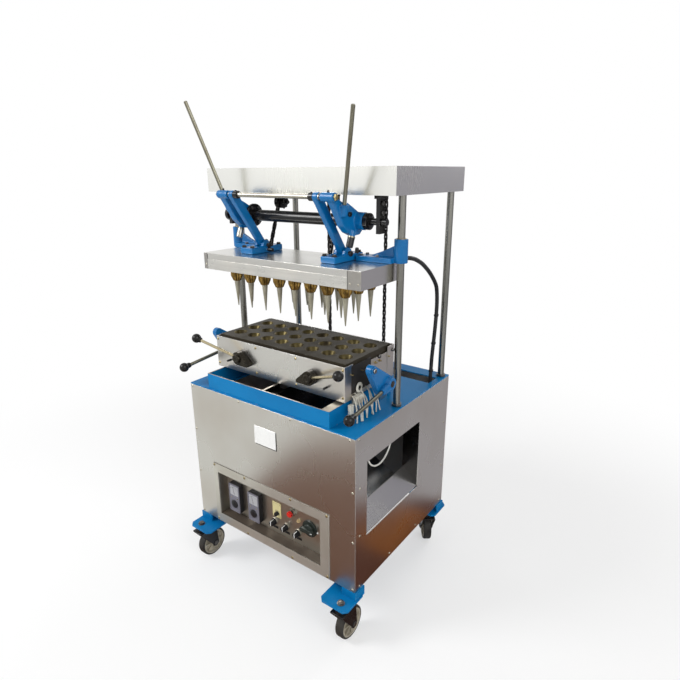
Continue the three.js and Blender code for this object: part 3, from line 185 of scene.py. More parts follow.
# A black ribbed conduit carries the press's heater wires from a gland on the
# press plate, over the back and down the rear right pole into the cabinet.
conduit_radius, rib_depth = 6.3, 0.5
conduit_route = [
    (262, 264, 1088.6), (281, 264, 1088.6), (299, 270, 1089.5), (309, 288, 1089.5), (312, 313, 1084),
    (312, 333, 1077), (312, 362, 1064), (312, 391, 1046), (312, 418, 1026), (312, 445, 1001),
    (312, 461, 981), (311, 470, 960), (311, 474, 930), (310, 476, 890), (308, 476, 840),
    (305, 476, 790), (302, 476, 740), (301, 476, 700), (300, 476, 662), (300, 476, 640),
]
panel_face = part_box("front_panel")[0][1]
to_front, to_back, to_left, to_right, upward = (0, -1, 0), (0, 1, 0), (-1, 0, 0), (1, 0, 0), (0, 0, 1)


def at(x, y, z):
    """A place in metres, from millimetres right of the middle, back from the panel's face and up."""
    return Vector((x / 1000, panel_face + y / 1000, z / 1000))


def circle(sides):
    """The angles of a circle's places."""
    return [math.tau * i / sides for i in range(sides)]


def soften(piece, width, segments=2):
    """Rounds a piece's sharp edges, in millimetres."""
    edge = piece.modifiers.new("edges", "BEVEL")
    edge.width = width / 1000
    edge.segments = segments
    edge.limit_method = "ANGLE"
    edge.angle_limit = math.radians(35)
    edge.use_clamp_overlap = True


class Work:
    """The faces of one piece while it is made, in millimetres; stand is where its own origin stands."""

    def __init__(self, stand=Matrix()):
        self.mesh = bmesh.new()
        self.stand = stand

    def skin(self, rings, closed=False):
        """Joins rings of the same number of places into a tube; a ring of one place is a point."""
        made = [[self.mesh.verts.new(p) for p in ring] for ring in rings]
        for a, b in zip(made, made[1:] + made[:closed]):
            n = max(len(a), len(b))
            for i in range(n):
                j = (i + 1) % n
                kept = list(dict.fromkeys([a[i % len(a)], a[j % len(a)], b[j % len(b)], b[i % len(b)]]))
                if len(kept) > 2:
                    self.mesh.faces.new(kept)
        for ring in () if closed else (made[0][::-1], made[-1]):
            if len(ring) > 2:
                self.mesh.faces.new(ring)
        return self

    def turned(self, start, aim, profile, sides=32, flutes=0, depth=0.0, closed=False):
        """A shape turned about a line, from pairs of radius and distance along it."""
        place = Matrix.Translation(start) @ Vector(aim).to_track_quat("Z", "Y").to_matrix().to_4x4()
        rings = []
        for radius, along in profile:
            ring = [(radius * (1 - depth * (0.5 - 0.5 * math.cos(flutes * a))), a) for a in circle(sides)]
            ring = [place @ Vector((r * math.cos(a), r * math.sin(a), along)) for r, a in ring]
            rings.append(ring if radius else ring[:1])
        return self.skin(rings, closed)

    def rod(self, start, end, radius, sides=24, edge=0.6):
        """A round bar with broken edges."""
        aim = Vector(end) - Vector(start)
        long = aim.length
        edge = min(edge, radius * 0.5, long * 0.4)
        profile = [(radius - edge, 0), (radius, edge), (radius, long - edge), (radius - edge, long)]
        return self.turned(start, aim, profile, sides)

    def pipe(self, start, end, outer, inner, sides=32, edge=0.5):
        """A bush: a tube with an open bore."""
        aim = Vector(end) - Vector(start)
        long = aim.length
        profile = [(inner, 0), (outer - edge, 0), (outer, edge), (outer, long - edge), (outer - edge, long),
                   (inner, long)]
        return self.turned(start, aim, profile, sides, closed=True)

    def bolt(self, place, aim, radius, high, narrow=1.0, edge=1.0, low=0.0):
        """A hexagon head with a broken top edge."""
        head = [(radius, low), (radius, high - edge), (radius - narrow, high), (0, high)]
        return self.turned(place, aim, head, 6)

    def ball(self, centre, radius, sides=36):
        """A ball knob."""
        angles = circle(sides)[:sides // 2] + [math.pi]
        profile = [(radius * (0 < a < math.pi) * math.sin(a), -radius * math.cos(a)) for a in angles]
        return self.turned(centre, upward, profile, sides)

    def prism(self, outline, axis, span):
        """An outline of the two other axes pushed along one."""
        i = "xyz".index(axis)
        return self.skin([[(*p[:i], t, *p[i:]) for p in outline] for t in sorted(span)])

    def block(self, x, y, z):
        """A square block between two values on each axis."""
        return self.prism([(x[0], y[0]), (x[1], y[0]), (x[1], y[1]), (x[0], y[1])], "z", z)

    def sweep(self, places, radius, sides=12):
        """A bent bar or wire along close places; radius may be a list."""
        points = [Vector(p) for p in places]
        radii = radius if isinstance(radius, list) else [radius] * len(points)
        rings, side = [], None
        for before, p, after, r in zip(points[:1] + points, points, points[1:] + points[-1:], radii):
            aim = (after - before).normalized()
            side = side or aim.orthogonal().normalized()
            side = (side - aim * side.dot(aim)).normalized()
            up = aim.cross(side)
            rings.append([p + (side * math.cos(a) + up * math.sin(a)) * r for a in circle(sides)])
        return self.skin(rings)

    def made(self, name, material, body, slot=None, bevel=0.0, smooth=40.0, replaces=None, segments=2):
        """The finished piece: in metres, with its material, on the body that carries it."""
        for v in self.mesh.verts:
            v.co = at(*(self.stand @ v.co))
        bmesh.ops.recalc_face_normals(self.mesh, faces=self.mesh.faces)
        data = bpy.data.meshes.new(name)
        self.mesh.to_mesh(data)
        self.mesh.free()
        data.shade_smooth()
        data.set_sharp_from_angle(angle=math.radians(smooth))
        data.materials.append(material)
        piece = bpy.data.objects.new(name, data)
        link(piece)
        if bevel:
            soften(piece, bevel, segments)
        if body:
            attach(piece, body)
        if replaces:
            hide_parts(replaces)
        return piece


def smooth_line(points, per_span):
    """Close places on a smooth curve through a few."""
    p = [Vector(q) for q in points]
    p = [2 * p[0] - p[1]] + p + [2 * p[-1] - p[-2]]
    places = []
    for a, b, c, d in zip(p, p[1:], p[2:], p[3:]):
        for k in range(per_span):
            t = k / per_span
            places.append(0.5 * (2 * b + (c - a) * t + (2 * a - 5 * b + 4 * c - d) * t * t
                                 + (3 * b - a - 3 * c + d) * t ** 3))
    return places + [p[-2]]


black_hose = finish("black_hose", (0.012, 0.012, 0.013), (0.05, 0.05, 0.05),
                    sheen=(0.42, 0.62), grain=700)
conduit_line = smooth_line(conduit_route, 14)
rib_radii = [conduit_radius - rib_depth * (0.5 + 0.5 * math.cos(i * math.pi))
             for i in range(len(conduit_line))]
hose = Work().sweep(conduit_line, rib_radii, 16)
conduit = hose.made("conduit_hose", black_hose, None, smooth=60, replaces="conduit")
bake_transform(conduit)

# A plain pale floor, a white background and large soft lamps, as in a studio.
# Cards that only mirror-like faces see stand for the room round the machine.
scene.view_settings.view_transform = "Standard"
world = bpy.data.worlds.new("studio")
scene.world = world
world.use_nodes = True
sky = world.node_tree
rays = [node(sky, "LightPath", out=f"Is {kind} Ray") for kind in ("Camera", "Glossy", "Transmission")]
seen = sum_of(sky, "MAXIMUM", sum_of(sky, "MAXIMUM", *rays[:2]), rays[2])
falling = node(sky, "MapRange", {"Value": axis_of(sky, "Z", out="Generated"), "To Min": 0.72, "To Max": 0.28})
ambient = node(sky, "Background", {"Color": grey(1), "Strength": falling})
white = node(sky, "Background", {"Color": grey(1), "Strength": 1.0})
mixed = node(sky, "MixShader", {0: seen, 1: ambient, 2: white})
sky.links.new(mixed, sky.nodes["World Output"].inputs["Surface"])


def spread(name, corners):
    """A flat sheet of the stage, and the nodes of its own material."""
    mesh = bpy.data.meshes.new(name)
    mesh.from_pydata(corners, [], [tuple(range(len(corners)))])
    sheet = bpy.data.objects.new(name, mesh)
    link(sheet)
    paint = bpy.data.materials.new(name)
    paint.use_nodes = True
    mesh.materials.append(paint)
    return sheet, paint.node_tree


reach, floor_near, floor_far = 6.0, 1.0, 2.3
paper = spread("floor", [(-reach, -reach, 0), (reach, -reach, 0), (reach, reach, 0), (-reach, reach, 0)])[1]
matt = paper.nodes["Principled BSDF"]
matt.inputs["Base Color"].default_value = grey(0.96)
matt.inputs["Roughness"].default_value = 0.9
away = node(paper, "VectorMath", {0: node(paper, "NewGeometry", out="Position")}, "Value", operation="LENGTH")
fade = node(paper, "MapRange", {"Value": away, "From Min": floor_near, "From Max": floor_far, "To Min": 0.5},
            interpolation_type="SMOOTHSTEP")
faded = sum_of(paper, "MULTIPLY", fade, node(paper, "LightPath", out="Is Camera Ray"))
blank = node(paper, "Emission", {"Color": grey(1), "Strength": 1.0})
paper.links.new(node(paper, "MixShader", {0: faded, 1: matt.outputs[0], 2: blank}),
                paper.nodes["Material Output"].inputs["Surface"])

lamp_aim = Vector((0, 0, 0.8))
studio_lamps = (("key_lamp", (-1.9, -2.3, 2.7), 1.4, 74), ("fill_lamp", (2.6, -1.2, 2.4), 2.2, 34),
                ("back_lamp", (0.6, 2.8, 2.2), 1.8, 24))
for name, place, size, watts in studio_lamps:
    light = bpy.data.lights.new(name, "AREA")
    light.shape = "DISK"
    light.size = size
    light.energy = watts
    lamp = bpy.data.objects.new(name, light)
    link(lamp)
    lamp.location = place
    lamp.rotation_euler = (lamp_aim - lamp.location).to_track_quat("-Z", "Y").to_euler()

side_x, near_y = 0.34, -0.3
carpet_z, wood_z, glow_z = 0.002, 0.004, 0.006
cards = (
    ("grey_carpet", carpet_z, (0.42, 0.40, 0.41),
     [(side_x, near_y), (2.6, near_y), (2.6, 2.6), (side_x, 2.6)]),
    ("front_carpet", carpet_z, (0.84, 0.84, 0.79),
     [(-2.4, -2.2), (side_x, -2.2), (side_x, near_y), (-2.4, near_y)]),
    ("wood_right", wood_z, (0.10, 0.032, 0.016),
     [(side_x, near_y), (1.0, near_y), (0.8, 0.2), (0.52, 0.46), (side_x, 0.56)]),
    ("wood_glow", glow_z, (0.27, 0.085, 0.010), [(0.42, 0.08), (0.6, 0.08), (0.58, 0.36), (0.44, 0.4)]),
    ("wood_front", wood_z, (0.19, 0.095, 0.06),
     [(side_x, near_y), (-0.40, near_y), (-0.60, -1.1), (-0.1, -1.5), (side_x, -1.6)]),
    ("grey_wall", None, (0.34, 0.33, 0.37),
     [(0.2, 3.6, 0.0), (3.4, 1.9, 0.0), (3.4, 1.9, 2.6), (0.2, 3.6, 2.6)]),
)
for name, height, colour, outline in cards:
    card, paint = spread(name, outline if height is None else [(x, y, height) for x, y in outline])
    for ray in ("camera", "diffuse", "shadow", "transmission"):
        setattr(card, "visible_" + ray, False)
    glow = paint.nodes["Principled BSDF"].inputs
    glow["Base Color"].default_value = grey(0)
    glow["Specular IOR Level"].default_value = 0
    glow["Emission Color"].default_value = (*colour, 1)
    glow["Emission Strength"].default_value = 1

# The base frame is a welded ring of square tube, sprayed bright blue like the
# castings above. Its corner feet carry the pads that the casters turn in.
# Painted shade: the castings take a darker copy of the sheets' bright blue, though both are one paint.
bright_blue, shaded_blue = (0.002, 0.180, 0.44), (0.002, 0.148, 0.40)
blue_shade = (0.003, 0.095, 0.28)
bare_metal = (0.36, 0.35, 0.33)
blue_paint = finish("blue_enamel_shaded", shaded_blue, blue_shade, patches=(0.4, 6), sheen=(0.19, 0.32),
                    grain=420, bump=0.05, rub=(bare_metal, 0.0012), specular=0.36)
blue_sheet = finish("blue_sheet", bright_blue, blue_shade, patches=(0.4, 6), sheen=(0.28, 0.42),
                    grain=420, bump=0.03, rub=(bare_metal, 0.001), specular=0.09)


def dress(material, width, *nodes):
    """Gives CAD nodes their finish and, where a width is given, round edges."""
    for name in nodes:
        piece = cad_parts[name]
        piece.data.materials.clear()
        piece.data.materials.append(material)
        piece.modifiers.new("weld", "WELD").merge_threshold = 0.00001
        if width:
            soften(piece, width)
            piece.modifiers.new("shading", "WEIGHTED_NORMAL").weight = 100


dress(blue_sheet, 1.0, "base_frame")

# The cabinet is wrapped in thin polished stainless sheet. The front, the right
# side and the wrap round the left and back are screwed to the frame's posts.
half_width, depth, deck_low, deck_top = 330, 556, 658, 662
sheet_steel = finish("stainless_sheet", (0.63, 0.62, 0.60), (0.50, 0.45, 0.40), 1.0, (0.55, 3.2),
                     (0.27, 0.32), grain=260, speckle=0.03, stretch=(1.0, 1.0, 0.02), bump=0.0005)
dress(sheet_steel, 0.5, "front_panel", "right_panel", "back_wrap")
screw_steel = finish("screw_heads", (0.72, 0.69, 0.58), (0.30, 0.25, 0.18), 1.0, (0.6, 40),
                     (0.3, 0.5))
slot_black = finish("slot_black", (0.02, 0.018, 0.016), (0.04, 0.03, 0.02), sheen=(0.5, 0.7))


def screws(name, places, aim, body, radius=3.4, proud=1.7, material=screw_steel):
    """Domed screw heads with a cross slot, all facing one way."""
    heads, marks, aim = Work(), Work(), Vector(aim)
    dome = [(radius, -0.4), (radius, 0.35 * proud), (0.72 * radius, 0.85 * proud), (0.3 * radius, proud),
            (0, proud * 1.02)]
    for i, place in enumerate(places):
        heads.turned(place, aim, dome, 18)
        across = Matrix.Rotation(0.9 * i, 3, aim) @ aim.orthogonal().normalized()
        for way in (across, aim.cross(across)):
            long, wide = way * 0.6 * radius, aim.cross(way) * 0.12 * radius
            marks.skin([[p - long - wide, p + long - wide, p + long + wide, p - long + wide]
                        for p in (Vector(place) + aim * proud * 0.7, Vector(place) + aim * proud * 1.05)])
    heads.made(name, material, body)
    marks.made(name + "_slots", slot_black, body)


top_row, edge_inset = 651, 8
front_screws = [(x, 0, top_row) for x in (-322, -105, 106, 313)]
front_screws += [(x * (half_width - edge_inset), 0, z) for x in (-1, 1) for z in (496, 336, 175)]
screws("front_screws", front_screws, to_front, "cabinet")
side_places = [(18, top_row), (189, top_row), (355, top_row), (527, top_row), (24, 501), (24, 348), (24, 176),
               (535, 492), (535, 325), (535, 180), (358, 180), (190, 178)]
screws("right_screws", [(half_width, y, z) for y, z in side_places], to_right, "cabinet")
screws("left_screws", [(-half_width, y, z) for y, z in side_places], to_left, "cabinet")
back_screws = [(x, depth, z) for x in (-310, -105, 105, 310) for z in (top_row, 420, 180)]
screws("back_screws", back_screws, to_back, "cabinet")
plate_steel = finish("name_plate", (0.86, 0.86, 0.85), (0.7, 0.7, 0.68), 0.2, sheen=(0.25, 0.35),
                     grain=300)
Work().block((-42, 45), (-1.3, 0.1), (533, 592)).made("name_plate", plate_steel, "cabinet", bevel=0.4)
# Painted shadow: a black plate behind the name plate, offset right and down, shows as its dark edge.
Work().block((-38, 48), (-0.7, 0.1), (530.4, 590)).made("name_plate_shadow", slot_black, "cabinet", bevel=0.2)

# The deck is one blue plate with a raised trough round the hole that the
# cones drop through; a strip of bare steel lies along the rim of the trough.
dress(blue_sheet, 0.8, "top_deck")
chute_steel = finish("chute_sheet", (0.60, 0.595, 0.58), (0.42, 0.41, 0.39), 1.0, (0.5, 5),
                     (0.22, 0.34), grain=200, speckle=0.05, bump=0.003)
# Painted shade: the chute's walls that face front and back go near black, and so does the chute from 386 to
# 410 mm up, as the shade inside the cabinet.
chute_shade_from, chute_shade_to, chute_shade = 0.386, 0.410, (0.045, 0.043, 0.042)
steel = chute_steel.node_tree
chute_shade_high = node(steel, "MapRange", {"Value": axis_of(steel, "Z"), "From Min": chute_shade_from, "From Max": chute_shade_to})
wall = sum_of(steel, "ABSOLUTE", axis_of(steel, "Y", "NewGeometry", "Normal"))
soil(chute_steel, sum_of(steel, "MAXIMUM", chute_shade_high, wall), chute_shade)
dress(chute_steel, 0.4, "cone_chute")
trough_half, trough_front, trough_back, trough_top, rim_wide = 243, 3, 321, 712, 3.4
rim_steel = finish("rim_steel", (0.42, 0.39, 0.33), (0.2, 0.17, 0.13), 0.8, sheen=(0.35, 0.5),
                   grain=300)
rim = Work()
for x, y in (((-trough_half, trough_half), (trough_front + 0.1, trough_front + rim_wide)),
             ((215, trough_half), (trough_front + rim_wide, 80)),
             ((-trough_half, rim_wide - trough_half), (trough_front + rim_wide, trough_back)),
             ((-6.6, -0.4), (6.5, 76))):
    rim.block(x, y, (trough_top - 0.2, trough_top + 0.5))
rim.made("trough_rim", rim_steel, "cabinet", bevel=0.2)
loop_white = finish("white_plastic", (0.78, 0.77, 0.72), (0.5, 0.47, 0.42), sheen=(0.35, 0.5))
loop_x, loop_y, loop_z, loop_radius = 284, 194, 545, 66
hanging = [(loop_y - loop_radius, deck_low - 0.5), (loop_y - loop_radius, 600)]
bow = [(loop_y - loop_radius * math.cos(a), loop_z - loop_radius * math.sin(a)) for a in circle(48)[:25]]
rising = [(loop_y + loop_radius, 600), (loop_y + loop_radius, deck_low - 0.5)]
loop_line = [(loop_x, y, z) for y, z in hanging + bow + rising]
Work().sweep(loop_line, 2.6, 10).made("wire_loop", loop_white, "cabinet")

# The switch recess is a folded box behind a bright frame, held by eight brass
# screws. Painted shade darkens its upward ledges and its floor; its instruments have a scale and a dial.
box_back, recess_left, recess_right, recess_low = 35, -229, 207, 202
frame_steel = finish("frame_steel", (0.57, 0.56, 0.51), (0.42, 0.39, 0.33), 1.0, (0.5, 7),
                     (0.34, 0.42), grain=300, speckle=0.05, bump=0.003)
# Painted shade: the frame's faces that look up are darkened to a dull brown-grey, the more the further they
# face up.
ledge_shade = (0.085, 0.075, 0.062)
steel = frame_steel.node_tree
soil(frame_steel, axis_of(steel, "Z", "NewGeometry", "Normal"), ledge_shade)
dull = node(steel, "MapRange", {"Value": axis_of(steel, "Y"), "From Min": at(0, 1, 0).y,
                                "From Max": at(0, 4, 0).y, "To Min": 0.68, "To Max": 1.0})
steel.links.new(dull, steel.nodes["Principled BSDF"].inputs["Metallic"])
dress(frame_steel, 0.3, "control_box")
# Painted shade: a thin dark brown sheet on the recess floor, its brown a painted reflection of the brown
# room.
recess_shade = finish("recess_floor_shade", (0.115, 0.092, 0.072), (0.06, 0.045, 0.035), 0.4,
                      sheen=(0.45, 0.6))
shade_sheet_x, shade_sheet_z = (recess_left + 0.4, recess_right - 0.4), (recess_low - 0.1, recess_low + 0.8)
shade_sheet = Work().block(shade_sheet_x, (2, box_back - 0.4), shade_sheet_z)
shade_sheet.made("recess_shade_sheet", recess_shade, "cabinet", bevel=0.2)
brass = finish("brass", (0.50, 0.41, 0.21), (0.20, 0.14, 0.06), 1.0, (0.6, 50), (0.22, 0.42),
               grain=500)
frame_screws = [(x, -2.3, z) for x in (-243, -100, 95, 233) for z in (176, 386)]
screws("frame_screws", frame_screws, to_front, "cabinet", 4.2, 1.9, brass)
bezel_grey = finish("instrument_bezel", (0.17, 0.165, 0.20), (0.11, 0.11, 0.14),
                    sheen=(0.3, 0.45))
dial_white = finish("dial_white", (0.40, 0.40, 0.42), (0.26, 0.26, 0.28), sheen=(0.3, 0.4))
black_gloss = finish("black_gloss", (0.010, 0.010, 0.012), (0.022, 0.022, 0.022),
                     sheen=(0.2, 0.34), specular=0.25)
black_moulded = finish("black_moulded", (0.014, 0.014, 0.016), (0.035, 0.035, 0.035),
                       sheen=(0.34, 0.5), bump=0.04)


def ticks(work, x, y, z, radius, thick, marks):
    """Scale marks on a front face round a place, from pairs of degrees and length."""
    for degrees, long in marks:
        c, s = math.cos(math.radians(degrees)), math.sin(math.radians(degrees))
        work.sweep([(x + r * c, y, z + r * s) for r in (radius, radius + long)], thick, 6)


face, case_half, case_low, case_top, setting_z, arc_z, lamp_z = 15, 24, 219, 323, 249, 284, 272
bezel_bars = [(-case_half, -20, case_low, case_top), (20, case_half, case_low, case_top),
              (-20.1, 20.1, 318, case_top), (-20.1, 20.1, 277, 281), (-20.1, 20.1, case_low, 224)]
faces = [("_scale", dial_white, 1.2, 280.5, 318.5), ("_lower", bezel_grey, 0.4, 223.5, 277.5)]
setting_dial = [(14.6, 0), (14.6, 2.2), (13.6, 3.4), (11, 4.0), (0, 4.2)]
for index, x in enumerate((-176, -86), 1):
    name = f"controller_{index}"
    case = Work().block((x - case_half, x + case_half), (face + 2.5, box_back - 0.3), (case_low, case_top))
    case.made(name + "_case", black_moulded, "cabinet", bevel=1.0, replaces=name)
    bezel = Work()
    for left, right, low, top in bezel_bars:
        bezel.block((x + left, x + right), (face - 0.5, face + 3), (low, top))
    bezel.made(name + "_bezel", bezel_grey, "cabinet", bevel=0.8)
    for part, material, front, low, top in faces:
        plate = Work().block((x - 20.5, x + 20.5), (face + front, face + 3), (low, top))
        plate.made(name + part, material, "cabinet")
    marks = Work()
    ticks(marks, x, face + 1, arc_z, 27, 0.35, [(140 - 10 * i, 2.5 if i % 5 else 4.5) for i in range(11)])
    marks.sweep([(x, face + 0.9, arc_z), (x - 6, face + 0.9, arc_z + 28)], 0.45, 6)
    ticks(marks, x, face + 0.3, setting_z, 15.6, 0.3,
          [(225 - 11.25 * i, 1.4 if i % 4 else 2.4) for i in range(25)])
    marks.made(name + "_marks", slot_black, "cabinet", "black_plastic")
    dial = Work().turned((x, face + 1, setting_z), to_front, setting_dial, 48, flutes=24, depth=0.03)
    pointer = [(x + a, setting_z + b) for a, b in ((-1.2, 0), (1.2, 0), (0.6, 12), (-0.6, 12))]
    dial.prism(pointer, "y", (face - 4.3, face - 2))
    dial.made(name + "_dial", black_moulded, "cabinet")
    lamps = Work()
    for lamp_x in (x - 14, x + 14):
        lamps.turned((lamp_x, face + 0.4, lamp_z), to_front, [(1.8, 0), (1.8, 0.8), (1.2, 1.3), (0, 1.5)], 16)
    lamps.made(name + "_lamps", brass, "cabinet", "red_plastic")

# Turned controls on the back plate: a cam switch, three knobs with white
# lines, a small dial on a pale scale plate, a red button and a lamp.
stripe_white = finish("stripe_white", (0.82, 0.82, 0.80), (0.7, 0.7, 0.7), sheen=(0.4, 0.5))
label_cream = finish("label_cream", (0.66, 0.58, 0.30), (0.5, 0.43, 0.2), sheen=(0.35, 0.5))
switch_green = finish("switch_green_black", (0.018, 0.026, 0.022), (0.04, 0.045, 0.04),
                      sheen=(0.25, 0.4))
red_cap = finish("red_cap", (0.62, 0.018, 0.010), (0.4, 0.01, 0.008), sheen=(0.22, 0.34),
                 coat=0.2)
amber = finish("lamp_amber", (0.55, 0.40, 0.20), (0.4, 0.3, 0.16), sheen=(0.12, 0.2), coat=0.4)
plate_face = box_back - 0.3


def fronted(x, z, proud, profile, sides=32, **flutes):
    """A control turned about a line to the front, that starts proud of the back plate."""
    return Work().turned((x, plate_face - proud, z), to_front, profile, sides, **flutes)


dial_x, dial_z = 5, 279
scale_plate = Work().block((-16, 20), (plate_face - 1.4, plate_face), (262, 318))
scale_plate.made("dial_plate", label_cream, "cabinet", bevel=0.5)
marks = Work()
ticks(marks, dial_x, plate_face - 1.5, dial_z, 9, 0.35, [(240 - 20 * i, 2.4) for i in range(15)])
for x in (-11, 15):
    marks.sweep([(x, plate_face - 1.5, 311), (x, plate_face - 1.5, 314)], 0.5, 6)
marks.made("dial_plate_marks", slot_black, "cabinet", "black_plastic")
grip = fronted(dial_x, dial_z, 0, [(7.5, 0.6), (7.5, 3), (6.5, 4), (6.5, 11.5), (5.6, 13), (0, 13)], 36,
               flutes=18, depth=0.06)
grip.made("dial_knob_grip", black_moulded, "dial", replaces="dial_knob")
knob_z, knob_long = 242, 20
knob_profile = [(10.8, 0.4), (10.8, 5), (9.6, 6.4), (9.2, 12), (8.8, 18.6), (7.6, knob_long), (0, knob_long)]
for index, x in enumerate((-10, 40, 90), 1):
    body = f"selector_{index}"
    knob = fronted(x, knob_z, 0, knob_profile, 48, flutes=16, depth=0.05)
    knob.made(body + "_knob", black_gloss, body, replaces=body)
    line, tip = Work(), plate_face - knob_long
    line.block((x - 1.3, x + 1.3), (tip - 0.4, plate_face - 6), (knob_z - 0.5, knob_z + 9.4))
    line.block((x - 1.3, x + 1.3), (tip - 0.4, tip + 1), (knob_z - 7, knob_z))
    line.made(body + "_line", stripe_white, body, bevel=0.3)
    ring = Work().pipe((x, plate_face - 2.4, knob_z), (x, plate_face, knob_z), 13.2, 11)
    ring.made(body + "_ring", rim_steel, "cabinet", "bright_steel")
    label = Work().block((x - 14, x + 14), (plate_face - 0.8, plate_face), (218, 226))
    label.made(body + "_label", black_moulded, "cabinet", bevel=0.2)
rotary_x, rotary_z = 138, 280
disc = fronted(rotary_x, rotary_z, 0, [(28, 0), (28, 2.6), (26.6, 4), (0, 4)], 56)
disc.made("rotary_plate", switch_green, "cabinet")
handle = fronted(rotary_x, rotary_z, 3.9, [(19, 0), (18, 5), (15.5, 7.5), (0, 7.5)], 48)
grip = [(-26, -3.5), (-22, -7.2), (22, -7.2), (26, -3.5), (26, 3.5), (22, 7.2), (-22, 7.2), (-26, 3.5)]
handle.prism([(rotary_x + a, rotary_z + b) for a, b in grip], "y", (plate_face - 20, plate_face - 9))
handle.made("rotary_grip", switch_green, "rotary", bevel=1.4, segments=3, replaces="rotary_switch")
mark_x, mark_z = (rotary_x + 16, rotary_x + 24), (rotary_z - 0.9, rotary_z + 0.9)
mark = Work().block(mark_x, (plate_face - 20.3, plate_face - 19), mark_z)
mark.made("rotary_mark", stripe_white, "rotary")
button_x, button_z = 71, 311
cap = fronted(button_x, button_z, 12, [(9.6, 0), (9.6, 7), (8.6, 8.4), (5, 9.0), (0, 9.1)], 40)
cap.made("button_cap", red_cap, "button", replaces="red_button")
places = [(button_x, plate_face - proud, button_z) for proud in (8.7, 2)]
Work().pipe(*places, 13, 10.4, 48).made("button_collar", rim_steel, "cabinet")
signal_x, signal_z, stud_x, stud_z = 95, 289, 169, 277
lens = fronted(signal_x, signal_z, 0, [(7, 0), (7, 2.2), (5.2, 3), (5.2, 5.5), (3.6, 7.6), (0, 8)])
lens.made("signal_lamp", amber, "cabinet")
stud = fronted(stud_x, stud_z, 0, [(3.2, 0), (3.2, 1.2), (2, 1.9), (0, 2)], 20)
stud.made("white_stud", stripe_white, "cabinet")
slot = Work().block((186, 205), (box_back - 1.4, box_back + 0.2), (204, 206.5))
slot.made("recess_slot", slot_black, "cabinet", "black_plastic")
plate_screws = [(x, plate_face, z) for x in (-222, 200) for z in (209, 355)]
screws("plate_screws", plate_screws, to_front, "cabinet", 2.6, 1.3)

# Casters: a zinc-black fork under a double race, and a black tyre moulded on
# a grey-beige plastic centre with ribs and a bushed hub.
tyre_black = finish("tyre_black", (0.016, 0.016, 0.016), (0.07, 0.062, 0.05), patches=(0.6, 22),
                    sheen=(0.55, 0.75), grain=800, bump=0.08)
wheel_beige = finish("wheel_beige", (0.40, 0.36, 0.28), (0.14, 0.12, 0.09), patches=(0.7, 26),
                     sheen=(0.4, 0.6), grain=500)
black_enamel = finish("black_enamel", (0.008, 0.008, 0.009), (0.024, 0.022, 0.02),
                      patches=(0.5, 14),
                      sheen=(0.13, 0.26), grain=500, bump=0.02, rub=(bare_metal, 0.0009), specular=0.35)
zinc = finish("dark_zinc", (0.16, 0.155, 0.15), (0.05, 0.045, 0.04), 1.0, (0.6, 30),
              (0.3, 0.5))
sides = {"left": -1, "right": 1}
wheel_radius, trail, pad_low, swivelled = 50, 37, 136, 36
race = [(22.6, 0), (22.8, 1.2), (22.6, 3.4), (20.5, 5.4), (20.5, 7.6), (18.6, 8.8), (18.6, 17.4), (0, 17.4)]
leg = [(-22.6, 117.6), (-22.6, 112.4), (23, 50), (25.5, 42.5), (31, 37.4), (37, 36.4), (43, 37.4),
       (48.5, 42.5), (50.6, 50), (43.8, 117.6)]
half_tread = [(43, 13), (44.5, 13.8), (47, 13.6), (49.4, 11.5), (wheel_radius, 8)]
half_centre = [(6, 16.6), (13.6, 16.6), (14.6, 15.6), (14.8, 8), (17, 6.4), (34.5, 6.4), (37.5, 8.4),
               (39, 13.2), (43.4, 13.6)]


def mirrored(half):
    """A section's two halves, from pairs of radius and distance from its middle."""
    return [(r, -h) for r, h in half] + half[::-1]


for end, stem_y in (("front", -32), ("rear", 508)):
    for side, sign in sides.items():
        stem = (304 * sign, stem_y, 0)
        swing = math.radians(swivelled if (end, side) == ("rear", "right") else 0)
        stand = Matrix.Translation(stem) @ Matrix.Rotation(swing, 4, "Z")
        fork_body, wheel_body, corner = f"fork_{end}_{side}", f"wheel_{end}_{side}", f"{end}_{side}"
        fork = Work(stand).turned((0, 0, pad_low - 0.3), (0, 0, -1), race, 48)
        axle = Work(stand).rod((-25.6, trail, wheel_radius), (25.6, trail, wheel_radius), 4.6, 20)
        for way in (-1, 1):
            fork.prism(leg, "x", (way * 19.1, way * 22.8))
            axle.rod((way * 22.9, trail, wheel_radius), (way * 25.4, trail, wheel_radius), 8.4, 6, 0.5)
        fork.block((-22.7, 22.7), (-22.5, 43.7), (112, 117.5))
        fork.made(f"caster_fork_{corner}", black_enamel, fork_body, bevel=1.2, replaces=fork_body)
        axle.made(f"caster_axle_{corner}", zinc, fork_body)
        hub = (0, trail, wheel_radius)
        tyre = Work(stand).turned(hub, to_right, mirrored(half_tread), 64, closed=True)
        tyre.made(f"caster_tyre_{corner}", tyre_black, wheel_body, replaces=wheel_body)
        centre = Work(stand).turned(hub, to_right, mirrored(half_centre), 64, closed=True)
        for a in circle(8):
            c, s = math.cos(a), math.sin(a)
            for way in (-1, 1):
                centre.skin([[(way * h, trail + r * c - w * s, wheel_radius + r * s + w * c)
                              for h, w in ((5.5, -wide), (deep, -wide), (deep, wide), (5.5, wide))]
                             for r, wide, deep in ((14, 2.2, 13.5), (38.5, 1.7, 11))])
        centre.made(f"caster_centre_{corner}", wheel_beige, wheel_body, bevel=0.5)
        nut = Work().turned((*stem[:2], pad_low + 5.8), upward, [(11.5, 0), (11.5, 2.0), (0, 2.0)], 28)
        nut.bolt((*stem[:2], pad_low + 7.6), upward, 9.6, 5.2, 1.0, 0.6)
        nut.made(f"caster_nut_{corner}", zinc, "cabinet", bevel=0.3)

